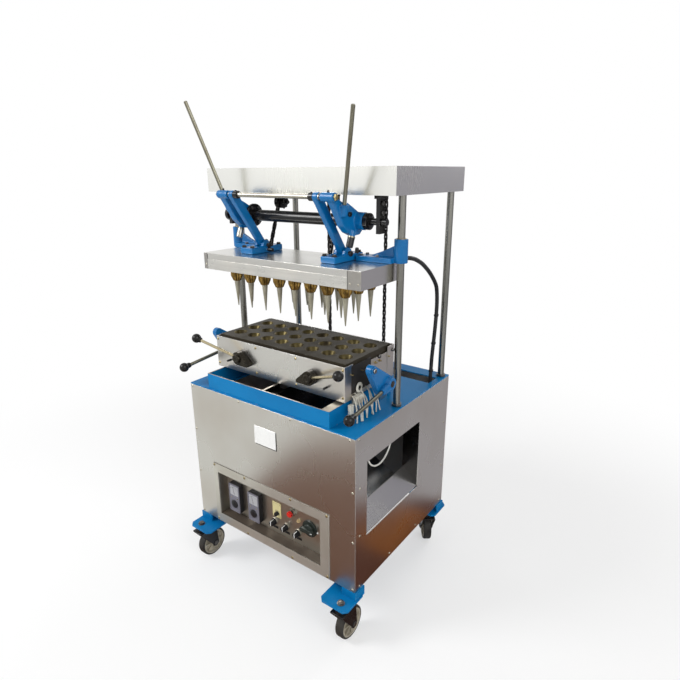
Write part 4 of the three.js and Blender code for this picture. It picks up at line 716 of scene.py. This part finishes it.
# Four bright tubes stand on hex nuts on the deck and carry a folded
# stainless tray, the canopy, with cross rails under its roof.
canopy_steel = finish("canopy_sheet", (0.77, 0.77, 0.735), (0.70, 0.69, 0.64), 1.0, (0.4, 4),
                      (0.24, 0.29), grain=260, speckle=0.03, stretch=(1.0, 1.0, 0.02), bump=0.002)
dress(canopy_steel, 0.6, "canopy")
pole_steel = finish("pole_steel", (0.24, 0.24, 0.222), (0.30, 0.28, 0.24), 1.0, (0.6, 5),
                    (0.2, 0.32), grain=240, speckle=0.08, stretch=(1.0, 1.0, 0.03), bump=0.006)
pole_x, pole_radius, pole_low, pole_top, nut_high = 312, 10.5, deck_top + 0.8, 1260.7, 8
pole_nut = [(14.6, 0), (16, 0.9), (16, nut_high - 1.2), (14.4, nut_high), (10.4, nut_high)]
pole_places = {"front": 238, "rear": 529}
for end, y in pole_places.items():
    for side, sign in sides.items():
        length = [(pole_radius, 0), (pole_radius, pole_top - pole_low)]
        tube = Work().turned((sign * pole_x, y, pole_low), upward, length, 48)
        tube.made(f"pole_tube_{end}_{side}", pole_steel, "cabinet", replaces=f"pole_{end}_{side}")
        nut = Work().turned((sign * pole_x, y, deck_top + 0.3), upward, pole_nut, 6)
        nut.made(f"pole_nut_{end}_{side}", zinc, "cabinet", smooth=20)
canopy_bolts = [(sign * pole_x, y, 1330.6) for sign in (-1, 1) for y in pole_places.values()]
screws("canopy_bolts", canopy_bolts, upward, "cabinet", 6, 0.38, zinc)

# The lift shaft is a black steel tube between two discs. Its stub ends turn
# in flat hangers that are bolted up into the canopy's rail.
shaft_y, shaft_z, disc_x = 186, 1193, 177
dress(black_enamel, 0.8, "hanger_left", "hanger_right")
half_shaft = [(9, 299), (9, 247.2), (20.5, 247), (22, 246), (22, 234.4), (21, 233.3), (14, 233.2),
              (14, 186.2), (32.6, 186), (34, 184.6), (34, 178.4), (32.6, disc_x), (16.6, disc_x - 0.1)]
shaft = Work().turned((0, shaft_y, shaft_z), to_right, mirrored(half_shaft), 56)
shaft.turned((-283.4, shaft_y, shaft_z), to_left,
             [(9, 0), (19, 0), (20, 1), (20, 10.4), (19, 11.4), (9, 11.4)], 40)
shaft.made("lift_tube", black_enamel, "crank", replaces="lift_shaft")
shaft_bolts, hanger_bolts = Work(), Work()
for sign in sides.values():
    for a in circle(6):
        place = (sign * disc_x, shaft_y + 25 * math.cos(a), shaft_z + 25 * math.sin(a))
        shaft_bolts.bolt(place, (-sign, 0, 0), 5, 4, 0.8, 0.8)
    shaft_bolts.turned((sign * 247, shaft_y + 6, shaft_z + 16), (sign, 0, 0),
                       [(3.4, 0), (3.4, 2.4), (0, 2.6)], 6)
    for z in (1216, 1241):
        hanger_bolts.bolt((sign * 283, shaft_y, z), (sign, 0, 0), 6.4, 4.6)
        hanger_bolts.bolt((sign * 272, shaft_y, z), (-sign, 0, 0), 6.4, 4.6)
shaft_bolts.made("shaft_bolts", zinc, "crank", smooth=20)
hanger_bolts.made("hanger_bolts", zinc, "cabinet", smooth=20)

# The cranks are rough blue castings clamped on the shaft. A steel bar joins
# their knuckles, and a long hand lever stands in a socket on each.
lever_steel = finish("lever_steel", (0.24, 0.23, 0.175), (0.11, 0.09, 0.06), 1.0, (0.6, 9),
                     (0.28, 0.44), grain=400)
bar_steel = finish("bar_steel", (0.42, 0.40, 0.35), (0.2, 0.18, 0.14), 1.0, (0.5, 12),
                   (0.22, 0.36), grain=300, speckle=0.1)
pin_y, pin_z = 78, 1258
lever_root, lever_aim = (217.8, 109.3, 1236.6), (0.2592, -0.2085, 0.943)
lever_long, socket_deep = {"left": 291, "right": 240}, 15.6
ferrule = [(11, 0), (11.4, 0.6), (11.4, 2.6), (8.4, 3.6), (5.2, 3.6)]
stop_x, stop_top, stop_low = 209, (160, 1170), (143, 1128)
stop_rubber = {"left": bar_steel, "right": black_moulded}
rubber_profile = [(9.2, 0), (9.7, 0.5), (9.7, 22), (9.0, 26.6), (0, 26.6)]


def cast(material, grid, rounds, *nodes):
    """CAD nodes as rough castings: their edges and corners melt into each other."""
    dress(material, 0, *nodes)
    for name in nodes:
        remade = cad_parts[name].modifiers.new("grid", "REMESH")
        remade.mode = "VOXEL"
        remade.voxel_size = grid / 1000
        remade.use_smooth_shade = True
        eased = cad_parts[name].modifiers.new("eased", "SMOOTH")
        eased.factor = 0.5
        eased.iterations = rounds


cast(blue_paint, 1.6, 5, "crank_left", "crank_right")
for side, sign in sides.items():
    outward = (sign, 0, 0)
    root = Vector((sign * lever_root[0], *lever_root[1:]))
    aim = Vector((sign * lever_aim[0], *lever_aim[1:])).normalized()
    long = socket_deep + lever_long[side]
    lever = Work().turned(root - aim * socket_deep, aim, [(5.3, 0), (5.3, long - 1.6), (3.9, long)], 28)
    lever.made(f"lever_rod_{side}", lever_steel, "crank", replaces=f"hand_lever_{side}")
    Work().turned(root - aim * 0.6, aim, ferrule, 28).made(f"lever_ferrule_{side}", blue_paint, "crank")
    nut = Work().bolt((sign * 213, pin_y, pin_z), outward, 8.8, 5.6, 1.2)
    nut.made(f"knuckle_nut_{side}", brass, "crank", smooth=20)
    dark = Work().bolt((sign * 199, pin_y + 18, pin_z - 9), (0, -0.62, 0.78), 3.6, 8, 0.8, 1, -6)
    dark.turned((sign * 192, pin_y - 1, pin_z + 11), (0, -0.1, 1), [(3, -3), (3, 5), (2.2, 6), (0, 6)], 14)
    dark.bolt((sign * 210, 142, 1213), outward, 7, 5.8, 1, 1.2, -1)
    dark.made(f"crank_screws_{side}", black_enamel, "crank", smooth=20)
    top, low = Vector((sign * stop_x, *stop_top)), Vector((sign * stop_x, *stop_low))
    rubber = Work().turned(top.lerp(low, 0.42), low - top, rubber_profile, 28)
    rubber.made(f"stop_rubber_{side}", stop_rubber[side], "crank", "black_steel")
    band = Work().pipe(top.lerp(low, 0.36), top.lerp(low, 0.46), 10.2, 8.6, 28)
    band.made(f"stop_band_{side}", lever_steel, "crank")

# A slanted cast arm hangs from each crank pin and pulls on a cast foot that
# is bolted to the press; the feet's pins and bolts are black.
cast(blue_paint, 1.5, 4, "lift_arm_left", "lift_arm_right")
cast(blue_paint, 1.8, 5, "arm_foot_left", "arm_foot_right")
bar_half = 170.3
bar = Work().rod((-bar_half, pin_y, pin_z), (bar_half, pin_y, pin_z), 6.5, 32)
bar.made("lift_bar", bar_steel, "crank", replaces="crossbar")
collar = [(6.6, 0), (10, 0), (11, 1), (11, 14.6), (10, 15.6), (6.6, 15.6)]
foot_top, foot_pin, collars = 1101.3, (188.5, 1103), Work()
for sign in sides.values():
    collars.turned((sign * 131, pin_y, pin_z), (sign, 0, 0), collar)
    collars.turned((sign * 139, pin_y - 2, pin_z + 9), (0, -0.2, 1), [(2.6, 0), (2.6, 4.4), (0, 4.6)], 6)
collars.made("bar_collars", black_enamel, "crank")
arm_washer = [(9.4, -0.6), (9.4, 2.4), (8, 3.2), (6.7, 3.2)]
foot_bolt = [(8.2, 0), (8.2, 1.4), (6.6, 1.5), (6.6, 5.6), (5.6, 6.6), (0, 6.6)]
for side, sign in sides.items():
    bolts = Work()
    for x, y in ((138, 127), (138, 243), (172, 243), (172, 127)):
        bolts.turned((sign * x, y, foot_top - 0.8), upward, foot_bolt, 6)
    for x, way in ((178, 1), (132, -1)):
        bolts.bolt((sign * x, *foot_pin), (sign * way, 0, 0), 8.4, 7.4, 1.2, 1.4)
    bolts.turned((sign * 176, 226, foot_top - 2), (0, 0.1, 1), [(5.6, 0), (5.6, 13), (4.4, 16), (0, 17)], 20)
    bolts.made(f"foot_bolts_{side}", black_enamel, "press", smooth=20)
    washer = Work().turned((sign * 163, pin_y, pin_z), (sign, 0, 0), arm_washer, 28)
    washer.made(f"arm_washer_{side}", bar_steel, "crank")

# The press is a folded stainless cover with lapped ends over the thick plate
# that carries the cores; a brighter strip is screwed along its front.
press_steel = finish("press_sheet", (0.70, 0.69, 0.655), (0.58, 0.56, 0.52), 1.0, (0.5, 4),
                     (0.24, 0.3), grain=260, speckle=0.04, stretch=(0.02, 1.0, 1.0), bump=0.003)
strip_steel = finish("strip_steel", (0.70, 0.69, 0.65), (0.62, 0.58, 0.52), 0.9,
                     sheen=(0.26, 0.4), grain=260, stretch=(0.02, 1.0, 1.0), bump=0.01)
lap_steel = finish("lap_steel", (0.43, 0.415, 0.39), (0.30, 0.27, 0.22), 1.0, sheen=(0.26, 0.38),
                   grain=260)
dress(press_steel, 0.5, "press_cover")
press_front, press_back, press_low, press_top = 72, 276, 1032, 1082
behind = press_front + 0.2
strip = Work().block((-281, 253), (press_front - 0.9, behind), (press_low + 0.2, press_low + 31))
strip.made("press_strip", strip_steel, "press", bevel=0.35)
laps, seams = Work(), Work()
for left, right in ((-296.4, -282), (254.5, 296.4)):
    laps.block((left, right), (press_front - 0.7, behind), (press_low + 0.2, press_top - 0.6))
for x in (-281.9, 253.1):
    seams.block((x, x + 1.4), (press_front - 0.75, behind), (press_low + 0.4, press_top - 0.8))
laps.made("press_laps", lap_steel, "press", bevel=0.3)
seams.made("press_seams", slot_black, "press")
press_screws = [(x, press_front - 0.8, 1047) for x in (-288, 262, 288)]
press_screws += [(x, press_back, 1057) for x in (-250, 0, 250)]
screws("press_screws", press_screws, to_front, "press", 2.6, 1.2)

# Each core is a spike of dull beige coated steel in a fluted brass collar,
# eight across and three deep, on a post under the heater plate.
core_top, collar_low, spike_tip = 1031.6, 995, 915
core_columns, core_rows = [60 * i - 210 for i in range(8)], (124, 186, 248)
spike_beige = finish("spike_coating", (0.36, 0.34, 0.26), (0.20, 0.17, 0.12), 0.25, (0.6, 18),
                     (0.34, 0.5), grain=420)
collar_brass = finish("collar_brass", (0.34, 0.215, 0.06), (0.06, 0.035, 0.012), 1.0,
                      (0.75, 60), (0.24, 0.44), grain=500)
plate_iron = finish("plate_iron", (0.17, 0.16, 0.14), (0.08, 0.07, 0.05), 1.0, (0.7, 12),
                    (0.4, 0.6))
collar = [(9.5, 0), (11.6, 0.2), (12.8, 2), (18.6, 15.5), (19.2, 18), (19.2, core_top - collar_low)]
spike = [(0, 0), (0.9, 0.2), (1.6, 1.4), (9, collar_low - spike_tip + 2)]
collars, spikes, posts = Work(), Work(), Work()
for x in core_columns:
    for y in core_rows:
        collars.turned((x, y, collar_low), upward, collar, 72, flutes=12, depth=0.17)
        spikes.turned((x, y, spike_tip), upward, spike, 28)
        posts.turned((x, y, core_top - 0.4), upward, [(17, 0), (17, 28.2)], 20)
spikes.made("core_spikes", spike_beige, "press", replaces="core_plate")
collars.made("core_collars", collar_brass, "press", smooth=50)
Work().block((-293, 293), (75, 273), (1059.5, 1079.4)).made("heater_plate", plate_iron, "press", bevel=1)
posts.made("core_posts", plate_iron, "press")

# Cast sleeves with a webbed base slide on the front poles and keep the press
# level; four bolts hold each. The conduit's gland and its ties are black.
cast(blue_paint, 1.5, 4, "guide_sleeve_left", "guide_sleeve_right")
base_top, sleeve_top = 1096.6, 1148.6
for side, sign in sides.items():
    bolts = Work()
    for x, y in ((201, 214), (201, 243), (252, 214), (252, 243)):
        bolts.bolt((sign * x, y, base_top), upward, 5.4, 5, 0.8)
    bolts.made(f"sleeve_bolts_{side}", zinc, "press", smooth=20)
    low, high = [(sign * pole_x, pole_places["front"], z) for z in (sleeve_top - 2.2, sleeve_top)]
    Work().pipe(low, high, 13.6, 10.9, 40).made(f"sleeve_bush_{side}", brass, "press")
gland_profile = [(9.4, 0), (9.4, 8), (8.2, 8.6), (8.2, 13), (6.4, 14.5)]
gland = Work().turned((250, 264, 1088.6), to_right, gland_profile, 12)
gland.block((238, 251), (254, 274), (1082.2, 1097))
gland.made("conduit_gland", black_moulded, "press", "conduit_rubber", bevel=0.8)
ties, over_the_back = Work(), 440
for z in (884, 790, 694):
    x, y, _ = min((p for p in conduit_line if p.y > over_the_back), key=lambda p: abs(p.z - z))
    ties.pipe((x, y, z - 2.4), (x, y, z + 2.4), 7.6, 6.1, 24)
    ties.block((x - 3.4, x + 3.4), (y + 5.6, y + 11), (z - 3, z + 3))
bound = ties.made("conduit_ties", black_gloss, None)
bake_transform(bound)

# The moulds are four bars of cast iron that part along the three rows of
# cavities. Oil has baked on the top; the cavities are worn bright and yellow.
mould_half, mould_low, mould_top = 247, 724, 826
bar_edges, parting = (73.5, 124, 186, 248, 298), 0.15
oiled_iron = finish("oiled_iron", (0.046, 0.039, 0.027), (0.024, 0.019, 0.012), 0.1, (0.6, 14),
                    (0.44, 0.6), grain=700, bump=0.12, rub=(bare_metal, 0.0008), specular=0.12)
cavity_gold = finish("cavity_steel", (0.080, 0.062, 0.022), (0.014, 0.010, 0.005), 0.55,
                     (0.9, 30), (0.34, 0.5), grain=500, specular=0.15)
cavity_profile = [(21.6, mould_top), (20.7, mould_top - 1), (15, mould_top - 13.6), (13, mould_top - 14),
                  (4.5, 730)]
half_turn = circle(48)[:25]
for i in range(4):
    low, high = bar_edges[i] + (parting if i else 0), bar_edges[i + 1] - (parting if i < 3 else 0)
    bar = Work()
    spot, face_of = bar.mesh.verts.new, bar.mesh.faces.new
    corner = {(sign, y, z): spot((sign * mould_half, y, z))
              for sign in (-1, 1) for y in (low, high) for z in (mould_low, mould_top)}
    top_edge = []
    for y, way, split in ((low, 1, i > 0), (high, -1, i < 3)):
        rim = [corner[-way, y, mould_top]]
        wall = list(rim)
        for x in (core_columns[::way] if split else []):
            rings = [[spot((x - way * r * math.cos(a), y + way * r * math.sin(a), z)) for a in half_turn]
                     for r, z in cavity_profile]
            for a, b in zip(rings, rings[1:]):
                for corners in zip(a, a[1:], b[1:], b):
                    face_of(corners).material_index = 1
            face_of(rings[-1]).material_index = 1
            rim += rings[0]
            wall += [ring[0] for ring in rings] + [ring[-1] for ring in rings[::-1]]
        rim.append(corner[way, y, mould_top])
        face_of(wall + [rim[-1], corner[way, y, mould_low], corner[-way, y, mould_low]])
        top_edge += rim
    face_of(top_edge)
    face_of([corner[sign, y, mould_low] for sign, y in ((-1, low), (1, low), (1, high), (-1, high))])
    for sign in (-1, 1):
        ends = ((low, mould_low), (high, mould_low), (high, mould_top), (low, mould_top))
        face_of([corner[sign, y, z] for y, z in ends])
    piece = bar.made(f"mould_iron_{i + 1}", oiled_iron, f"bar_{i + 1}", replaces=f"mould_bar_{i + 1}")
    piece.data.materials.append(cavity_gold)

# Folded stainless covers and side plates on legs close the moulds in. Screws
# hold the covers, and two black pins stop the clamps.
dress(sheet_steel, 0.5, "mould_housing")
cover_front, cover_back, cover_low, cover_top = 60, 314, 720, 822
cover_screws = [(x, cover_front, z) for x in (-247, -80, 80, 247) for z in (cover_low + 12, cover_top - 10)]
screws("cover_screws", cover_screws, to_front, "cabinet", 3.6, 1.9, brass)
cover_back_screws = [(x, cover_back, z) for x in (-230, 0, 230) for z in (732, 810)]
screws("cover_back_screws", cover_back_screws, to_back, "cabinet")
pins, heater_ends = Work(), Work()
heater_end = [(4.6, 0), (4.6, 3), (2.2, 3.2), (2.2, 9), (0, 9.2)]
for sign in sides.values():
    pins.rod((sign * 192.8, cover_front + 0.5, 752), (sign * 192.8, cover_front - 16, 752), 3.4, 18)
    for y in (92, 138, 164, 212, 234, 282):
        heater_ends.turned((sign * 250.4, y, 792), (sign, 0, 0), heater_end, 12)
pins.made("clamp_stops", black_enamel, "cabinet")
heater_ends.made("heater_ends", brass, "cabinet")

# White sleeved wires run from the heater ends down into the deck at the right
# end, past porcelain blocks and a coiled spare lead.
sleeve_white = finish("wire_sleeve", (0.70, 0.68, 0.60), (0.42, 0.38, 0.30),
                      patches=(0.7, 40), sheen=(0.55, 0.7), grain=1400, bump=0.2)
# Painted shade: a thin black plate on the mould's right end stands for the dark of the recess there.
Work().block((253.6, 254.8), (90, 186), (736, 817)).made("end_recess_shade", slot_black, "cabinet", bevel=0.3)
wires = Work()
for i in range(9):
    y, lean = 78 + 13 * i, 9 * math.sin(2.7 * i)
    route = [(255, y + 14, 730 + lean), (266 + 2 * (i % 3), y + 10, 722 + lean),
             (279 + 3 * (i % 2), y + 3, 696), (284 + 3 * (i % 3), y - 3 + lean, 663)]
    wires.sweep(smooth_line(route, 6), 2.1, 10)
wires.made("heater_wires", sleeve_white, "cabinet")
coil_x, coil_y, coil_z, coil_radius = 257.5, 122, 746, 14.5
coil = [(coil_x + 0.9 * a / 32, coil_y + (coil_radius - a / 15) * math.cos(a / 16 * math.pi),
         coil_z + (coil_radius - a / 15) * math.sin(a / 16 * math.pi)) for a in range(104)]
Work().sweep(coil, 1.6, 10).made("spare_lead", sleeve_white, "cabinet")
porcelain = Work().block((257, 269), (68, 82), (682, 712))
for y in (92, 110):
    porcelain.block((256, 270), (y, y + 15), (704, 730))
porcelain.made("porcelain_block", sleeve_white, "cabinet", bevel=1.6, segments=3)
end_bolts = Work()
for y in (306, 230):
    end_bolts.bolt((253.6, y, 806), to_right, 6, 5)
end_bolts.made("end_bolts", zinc, "cabinet", smooth=20)

# A cast crank turns on a stub at each end of the moulds and parts them. A
# steel rod with a black ball is its handle.
ball_black = finish("ball_black", (0.008, 0.008, 0.008), (0.02, 0.018, 0.016),
                    patches=(0.4, 9), sheen=(0.14, 0.26), specular=0.25)
hinge, lever_eye, elbow = (190, 749), (108, 812), (150, 742)
ball_at, rod_from = (326, -21.7, 721.2), (318, 175, 743)
rod_boss = [(0, 0), (13.4, 1), (12.6, 20), (9.6, 32), (8.6, 33.4), (5.4, 33.4)]
hinge_boss = [(22.4, 0), (22.6, 12), (21.6, 15), (20, 17.4), (19.4, 26), (17.6, 28.6), (11.2, 28.6),
              (10.4, 27.4), (9.4, 27.4)]


def webbed(rounds, steps=36):
    """The outline of a flat casting stretched round bosses, each a place and a radius."""
    points = [Vector((a + r * math.cos(t), b + r * math.sin(t)))
              for (a, b), r in rounds for t in circle(steps)]
    return [tuple(points[k]) for k in geometry.convex_hull_2d(points)]


for side, sign in sides.items():
    body, outward = f"side_lever_{side}", (sign, 0, 0)
    start, end = Vector((sign * rod_from[0], *rod_from[1:])), Vector((sign * ball_at[0], *ball_at[1:]))
    web = webbed([(hinge, 22.4), (lever_eye, 14.6), (elbow, 15)])
    casting = Work().prism(web, "x", (sign * 296.6, sign * 313.6))
    casting.turned(start, end - start, rod_boss, 32)
    casting.made(f"side_casting_{side}", blue_paint, body, bevel=2.6, segments=4, replaces=body)
    hub = Work().turned((sign * 297.4, *hinge), outward, hinge_boss, 48)
    hub.turned((sign * 296.2, *lever_eye), outward, [(11, 0), (11, 19.4), (10, 20.4), (6, 20.4)], 36)
    hub.made(f"side_hub_{side}", blue_paint, body)
    bolt = Work().bolt((sign * 316.4, *lever_eye), outward, 7, 4.8, 1, 1.2)
    bolt.made(f"side_bolt_{side}", zinc, body, smooth=20)
    stub = Work().turned((sign * 325.4, *hinge), outward, [(9.25, 0), (9.25, 0.7), (8.2, 1.1), (0, 1.1)])
    stub.made(f"side_stub_{side}", slot_black, "cabinet")
    Work().rod(start, end, 5.5).made(f"side_rod_{side}", lever_steel, body)
    ball = Work().ball(end, 15)
    ball.turned(end.lerp(start, 0.11), start - end, [(9.6, -12), (8.2, 0), (6.4, 1.2), (5.4, 1.2)], 28)
    ball.made(f"side_ball_{side}", ball_black, body)

# Two clamps on studs hold the front mould shut: an oily steel hub, a brass
# coloured rod through it, and a black ball on the rod's long end.
oily_steel = finish("oily_steel", (0.032, 0.027, 0.019), (0.012, 0.010, 0.008), 0.7, (0.6, 50),
                    (0.26, 0.45), grain=500, bump=0.1, rub=(bare_metal, 0.0008))
rod_brass = finish("rod_brass", (0.56, 0.49, 0.32), (0.26, 0.20, 0.11), 1.0, (0.7, 22),
                   (0.2, 0.36), grain=400)
clamp_x, clamp_y, clamp_z, rod_tail, hub_tail = 141.4, 45.85, 771.7, 42, 44
hub_back, clamp_ball = 59.7, (277, -0.9, 823.4)
hub_profile = [(15.4, 0), (17, 1.4), (17, 16), (15.6, 18.2), (14.4, 18.6), (14.4, 24.6), (12.6, 27.7),
               (7, 27.9), (6, 26.6), (0, 26.6)]
for side, sign in sides.items():
    body, centre = f"clamp_{side}", Vector((sign * clamp_x, clamp_y, clamp_z))
    end = Vector((sign * clamp_ball[0], *clamp_ball[1:]))
    aim = (end - centre).normalized()
    hub = Work().turned((centre.x, hub_back, clamp_z), to_front, hub_profile, 40)
    hub.turned(centre - aim * 18, aim, [(7.4, 0), (9, 1.6), (9, 34.6), (7.4, 36.4), (4.6, 36.4)], 28)
    tail = (centre.x - hub_tail * aim.x, clamp_z - hub_tail * aim.z)
    hub.prism(webbed([((centre.x, clamp_z), 21), (tail, 6)]), "y", (38.5, 58.8))
    hub.made(f"clamp_hub_{side}", oily_steel, body, bevel=2.2, segments=3, replaces=body)
    Work().rod(centre - aim * rod_tail, end, 4.5, 22, 0.8).made(f"clamp_rod_{side}", rod_brass, body)
    ball = Work().ball(end, 14.5)
    ball.turned(end - aim * 17.4, aim, [(5, 0), (7.6, 0.6), (9.4, 7)], 28)
    ball.made(f"clamp_ball_{side}", ball_black, body)
    washer = Work().rod((centre.x, hub_back + 0.7, clamp_z), (centre.x, hub_back + 4.2, clamp_z), 8.2)
    washer.made(f"clamp_washer_{side}", zinc, "cabinet")

# Two roller chains hook on the feet, run over sprockets under the canopy and
# go down behind the moulds to a cast iron counterweight in the cabinet.
chain_x, chain_pitch, pitch_radius, teeth = 116, 12.7, 20, 10
front_wheel_y, rear_wheel_y, high_z = 250, 458, 1289
front_wheel_z = {"left": 1231, "right": high_z}
hook_y, hook_z, weight_top, press_travel = 182, 1097.3, 470.3, 180
chain_steel = finish("chain_steel", (0.030, 0.028, 0.026), (0.012, 0.011, 0.01), 0.9,
                     (0.5, 60), (0.22, 0.4), rub=(bare_metal, 0.0006))
weight_iron = finish("weight_iron", (0.05, 0.05, 0.05), (0.09, 0.05, 0.03), patches=(0.6, 8),
                     sheen=(0.5, 0.7), bump=0.2)
dress(weight_iron, 2.0, "counterweight")
roller = [(1.6, 0), (1.6, 2.2), (3.8, 2.2), (3.8, 7.2), (1.6, 7.2), (1.6, 9.4)]


def toothed(work, x, y, z, half=2.3):
    """A sprocket's disc with round gaps for the rollers between its teeth, and its hub."""
    rim = [(pitch_radius + 3.4 * (0.5 - 0.5 * math.cos(teeth * a)) - 3.0, a) for a in circle(teeth * 6)]
    work.prism([(y + r * math.cos(a), z + r * math.sin(a)) for r, a in rim], "x", (x - half, x + half))
    work.turned((x - 7, y, z), to_right, [(9.4, 0), (10, 0.6), (10, 13.4), (9.4, 14)], 28)


def link_row(points, x):
    """Rollers at the places and a pair of plates from each to the next."""
    row = Work()
    for i, (a, b) in enumerate(zip(points, points[1:])):
        inset = 2.6 if i % 2 else 3.8
        for way in (-1, 1):
            row.prism(webbed([(a, 4.7), (b, 4.7)], 8), "x", [x + way * (inset + t) for t in (-0.5, 0.5)])
        row.turned((x - 4.7, *a), to_right, roller, 8)
    return row


def spaced(path, step, follow=lambda p: p):
    """Places a step apart along a path; the step is measured where follow carries the path."""
    places, walked = [path[0]], 0.0
    for a, b in zip(path, path[1:]):
        span = (follow(b) - follow(a)).length
        while walked + span >= step * len(places):
            places.append(a.lerp(b, (step * len(places) - walked) / span))
        walked += span
    return places


def arc(y, z, start, end, steps=40):
    """A chain's way round a sprocket."""
    angles = [start + (end - start) * k / steps for k in range(steps + 1)]
    return [Vector((y + pitch_radius * math.cos(a), z + pitch_radius * math.sin(a))) for a in angles]


def ease(t):
    """The smooth step that blended pieces follow."""
    t = min(max(t, 0), 1)
    return t * t * (3 - 2 * t)


for side, sign in sides.items():
    x, wheel_z, hook = sign * chain_x, front_wheel_z[side], Vector((hook_y, hook_z))
    reach = hook - Vector((front_wheel_y, wheel_z))
    leave = math.atan2(reach.y, reach.x) + math.tau - math.acos(pitch_radius / reach.length)
    crest = math.pi / 2 + math.atan2(high_z - wheel_z, rear_wheel_y - front_wheel_y)
    over = arc(front_wheel_y, wheel_z, leave, crest) + arc(rear_wheel_y, high_z, crest, 0)
    fall = rear_wheel_y + pitch_radius
    over += [Vector((fall, high_z - k / 2)) for k in range(4, int(2 * (high_z - weight_top)))]
    top = over[0]
    blend_high, blend_low = top.y - 2, top.y - 29
    strand = [top.lerp(hook, k / 900) for k in range(901)]

    def lowered(p):
        """Where a place of the front strand is while the press is down."""
        return Vector((p.x, p.y - press_travel * ease((blend_high - p.y) / (blend_high - blend_low))))

    front = link_row(spaced(strand, chain_pitch, lowered), x)
    front = front.made(f"chain_front_{side}", chain_steel, None, replaces=f"chain_{side}")
    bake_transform(front)
    rear = [p for p in spaced(over, chain_pitch) if p.y > weight_top]
    below = [p for p in rear if p.y <= deck_top + 8 and p.x >= fall - 1]
    above = rear[:len(rear) - len(below) + 1]
    link_row(above, x).made(f"chain_over_{side}", chain_steel, "cabinet")
    low_row = link_row(below, x).made(f"chain_rear_{side}", chain_steel, None)
    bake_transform(low_row)
    wheel = Work()
    toothed(wheel, x, front_wheel_y, wheel_z)
    wheel.rod((x - 20, front_wheel_y, wheel_z), (x + 20, front_wheel_y, wheel_z), 5, 20)
    drum_x = min(x + sign * 7, x + sign * 24)
    wheel.turned((drum_x, front_wheel_y, wheel_z), to_right, [(17, 0), (19, 1.4), (19, 15.6), (17, 17)], 36)
    wheel.made(f"front_wheel_{side}", black_enamel, f"sprocket_{side}", replaces=f"sprocket_{side}")
    pin = Work().rod((x - 10, hook_y, 1092), (x + 10, hook_y, 1092), 5.4, 20)
    pin.made(f"chain_hook_{side}", black_enamel, "press")
rear_shaft = Work().rod((-136, rear_wheel_y, high_z), (136, rear_wheel_y, high_z), 5, 20)
for sign in sides.values():
    toothed(rear_shaft, sign * chain_x, rear_wheel_y, high_z)
rear_shaft.made("rear_wheels", black_enamel, "rear_sprockets", replaces="rear_sprocket_shaft")
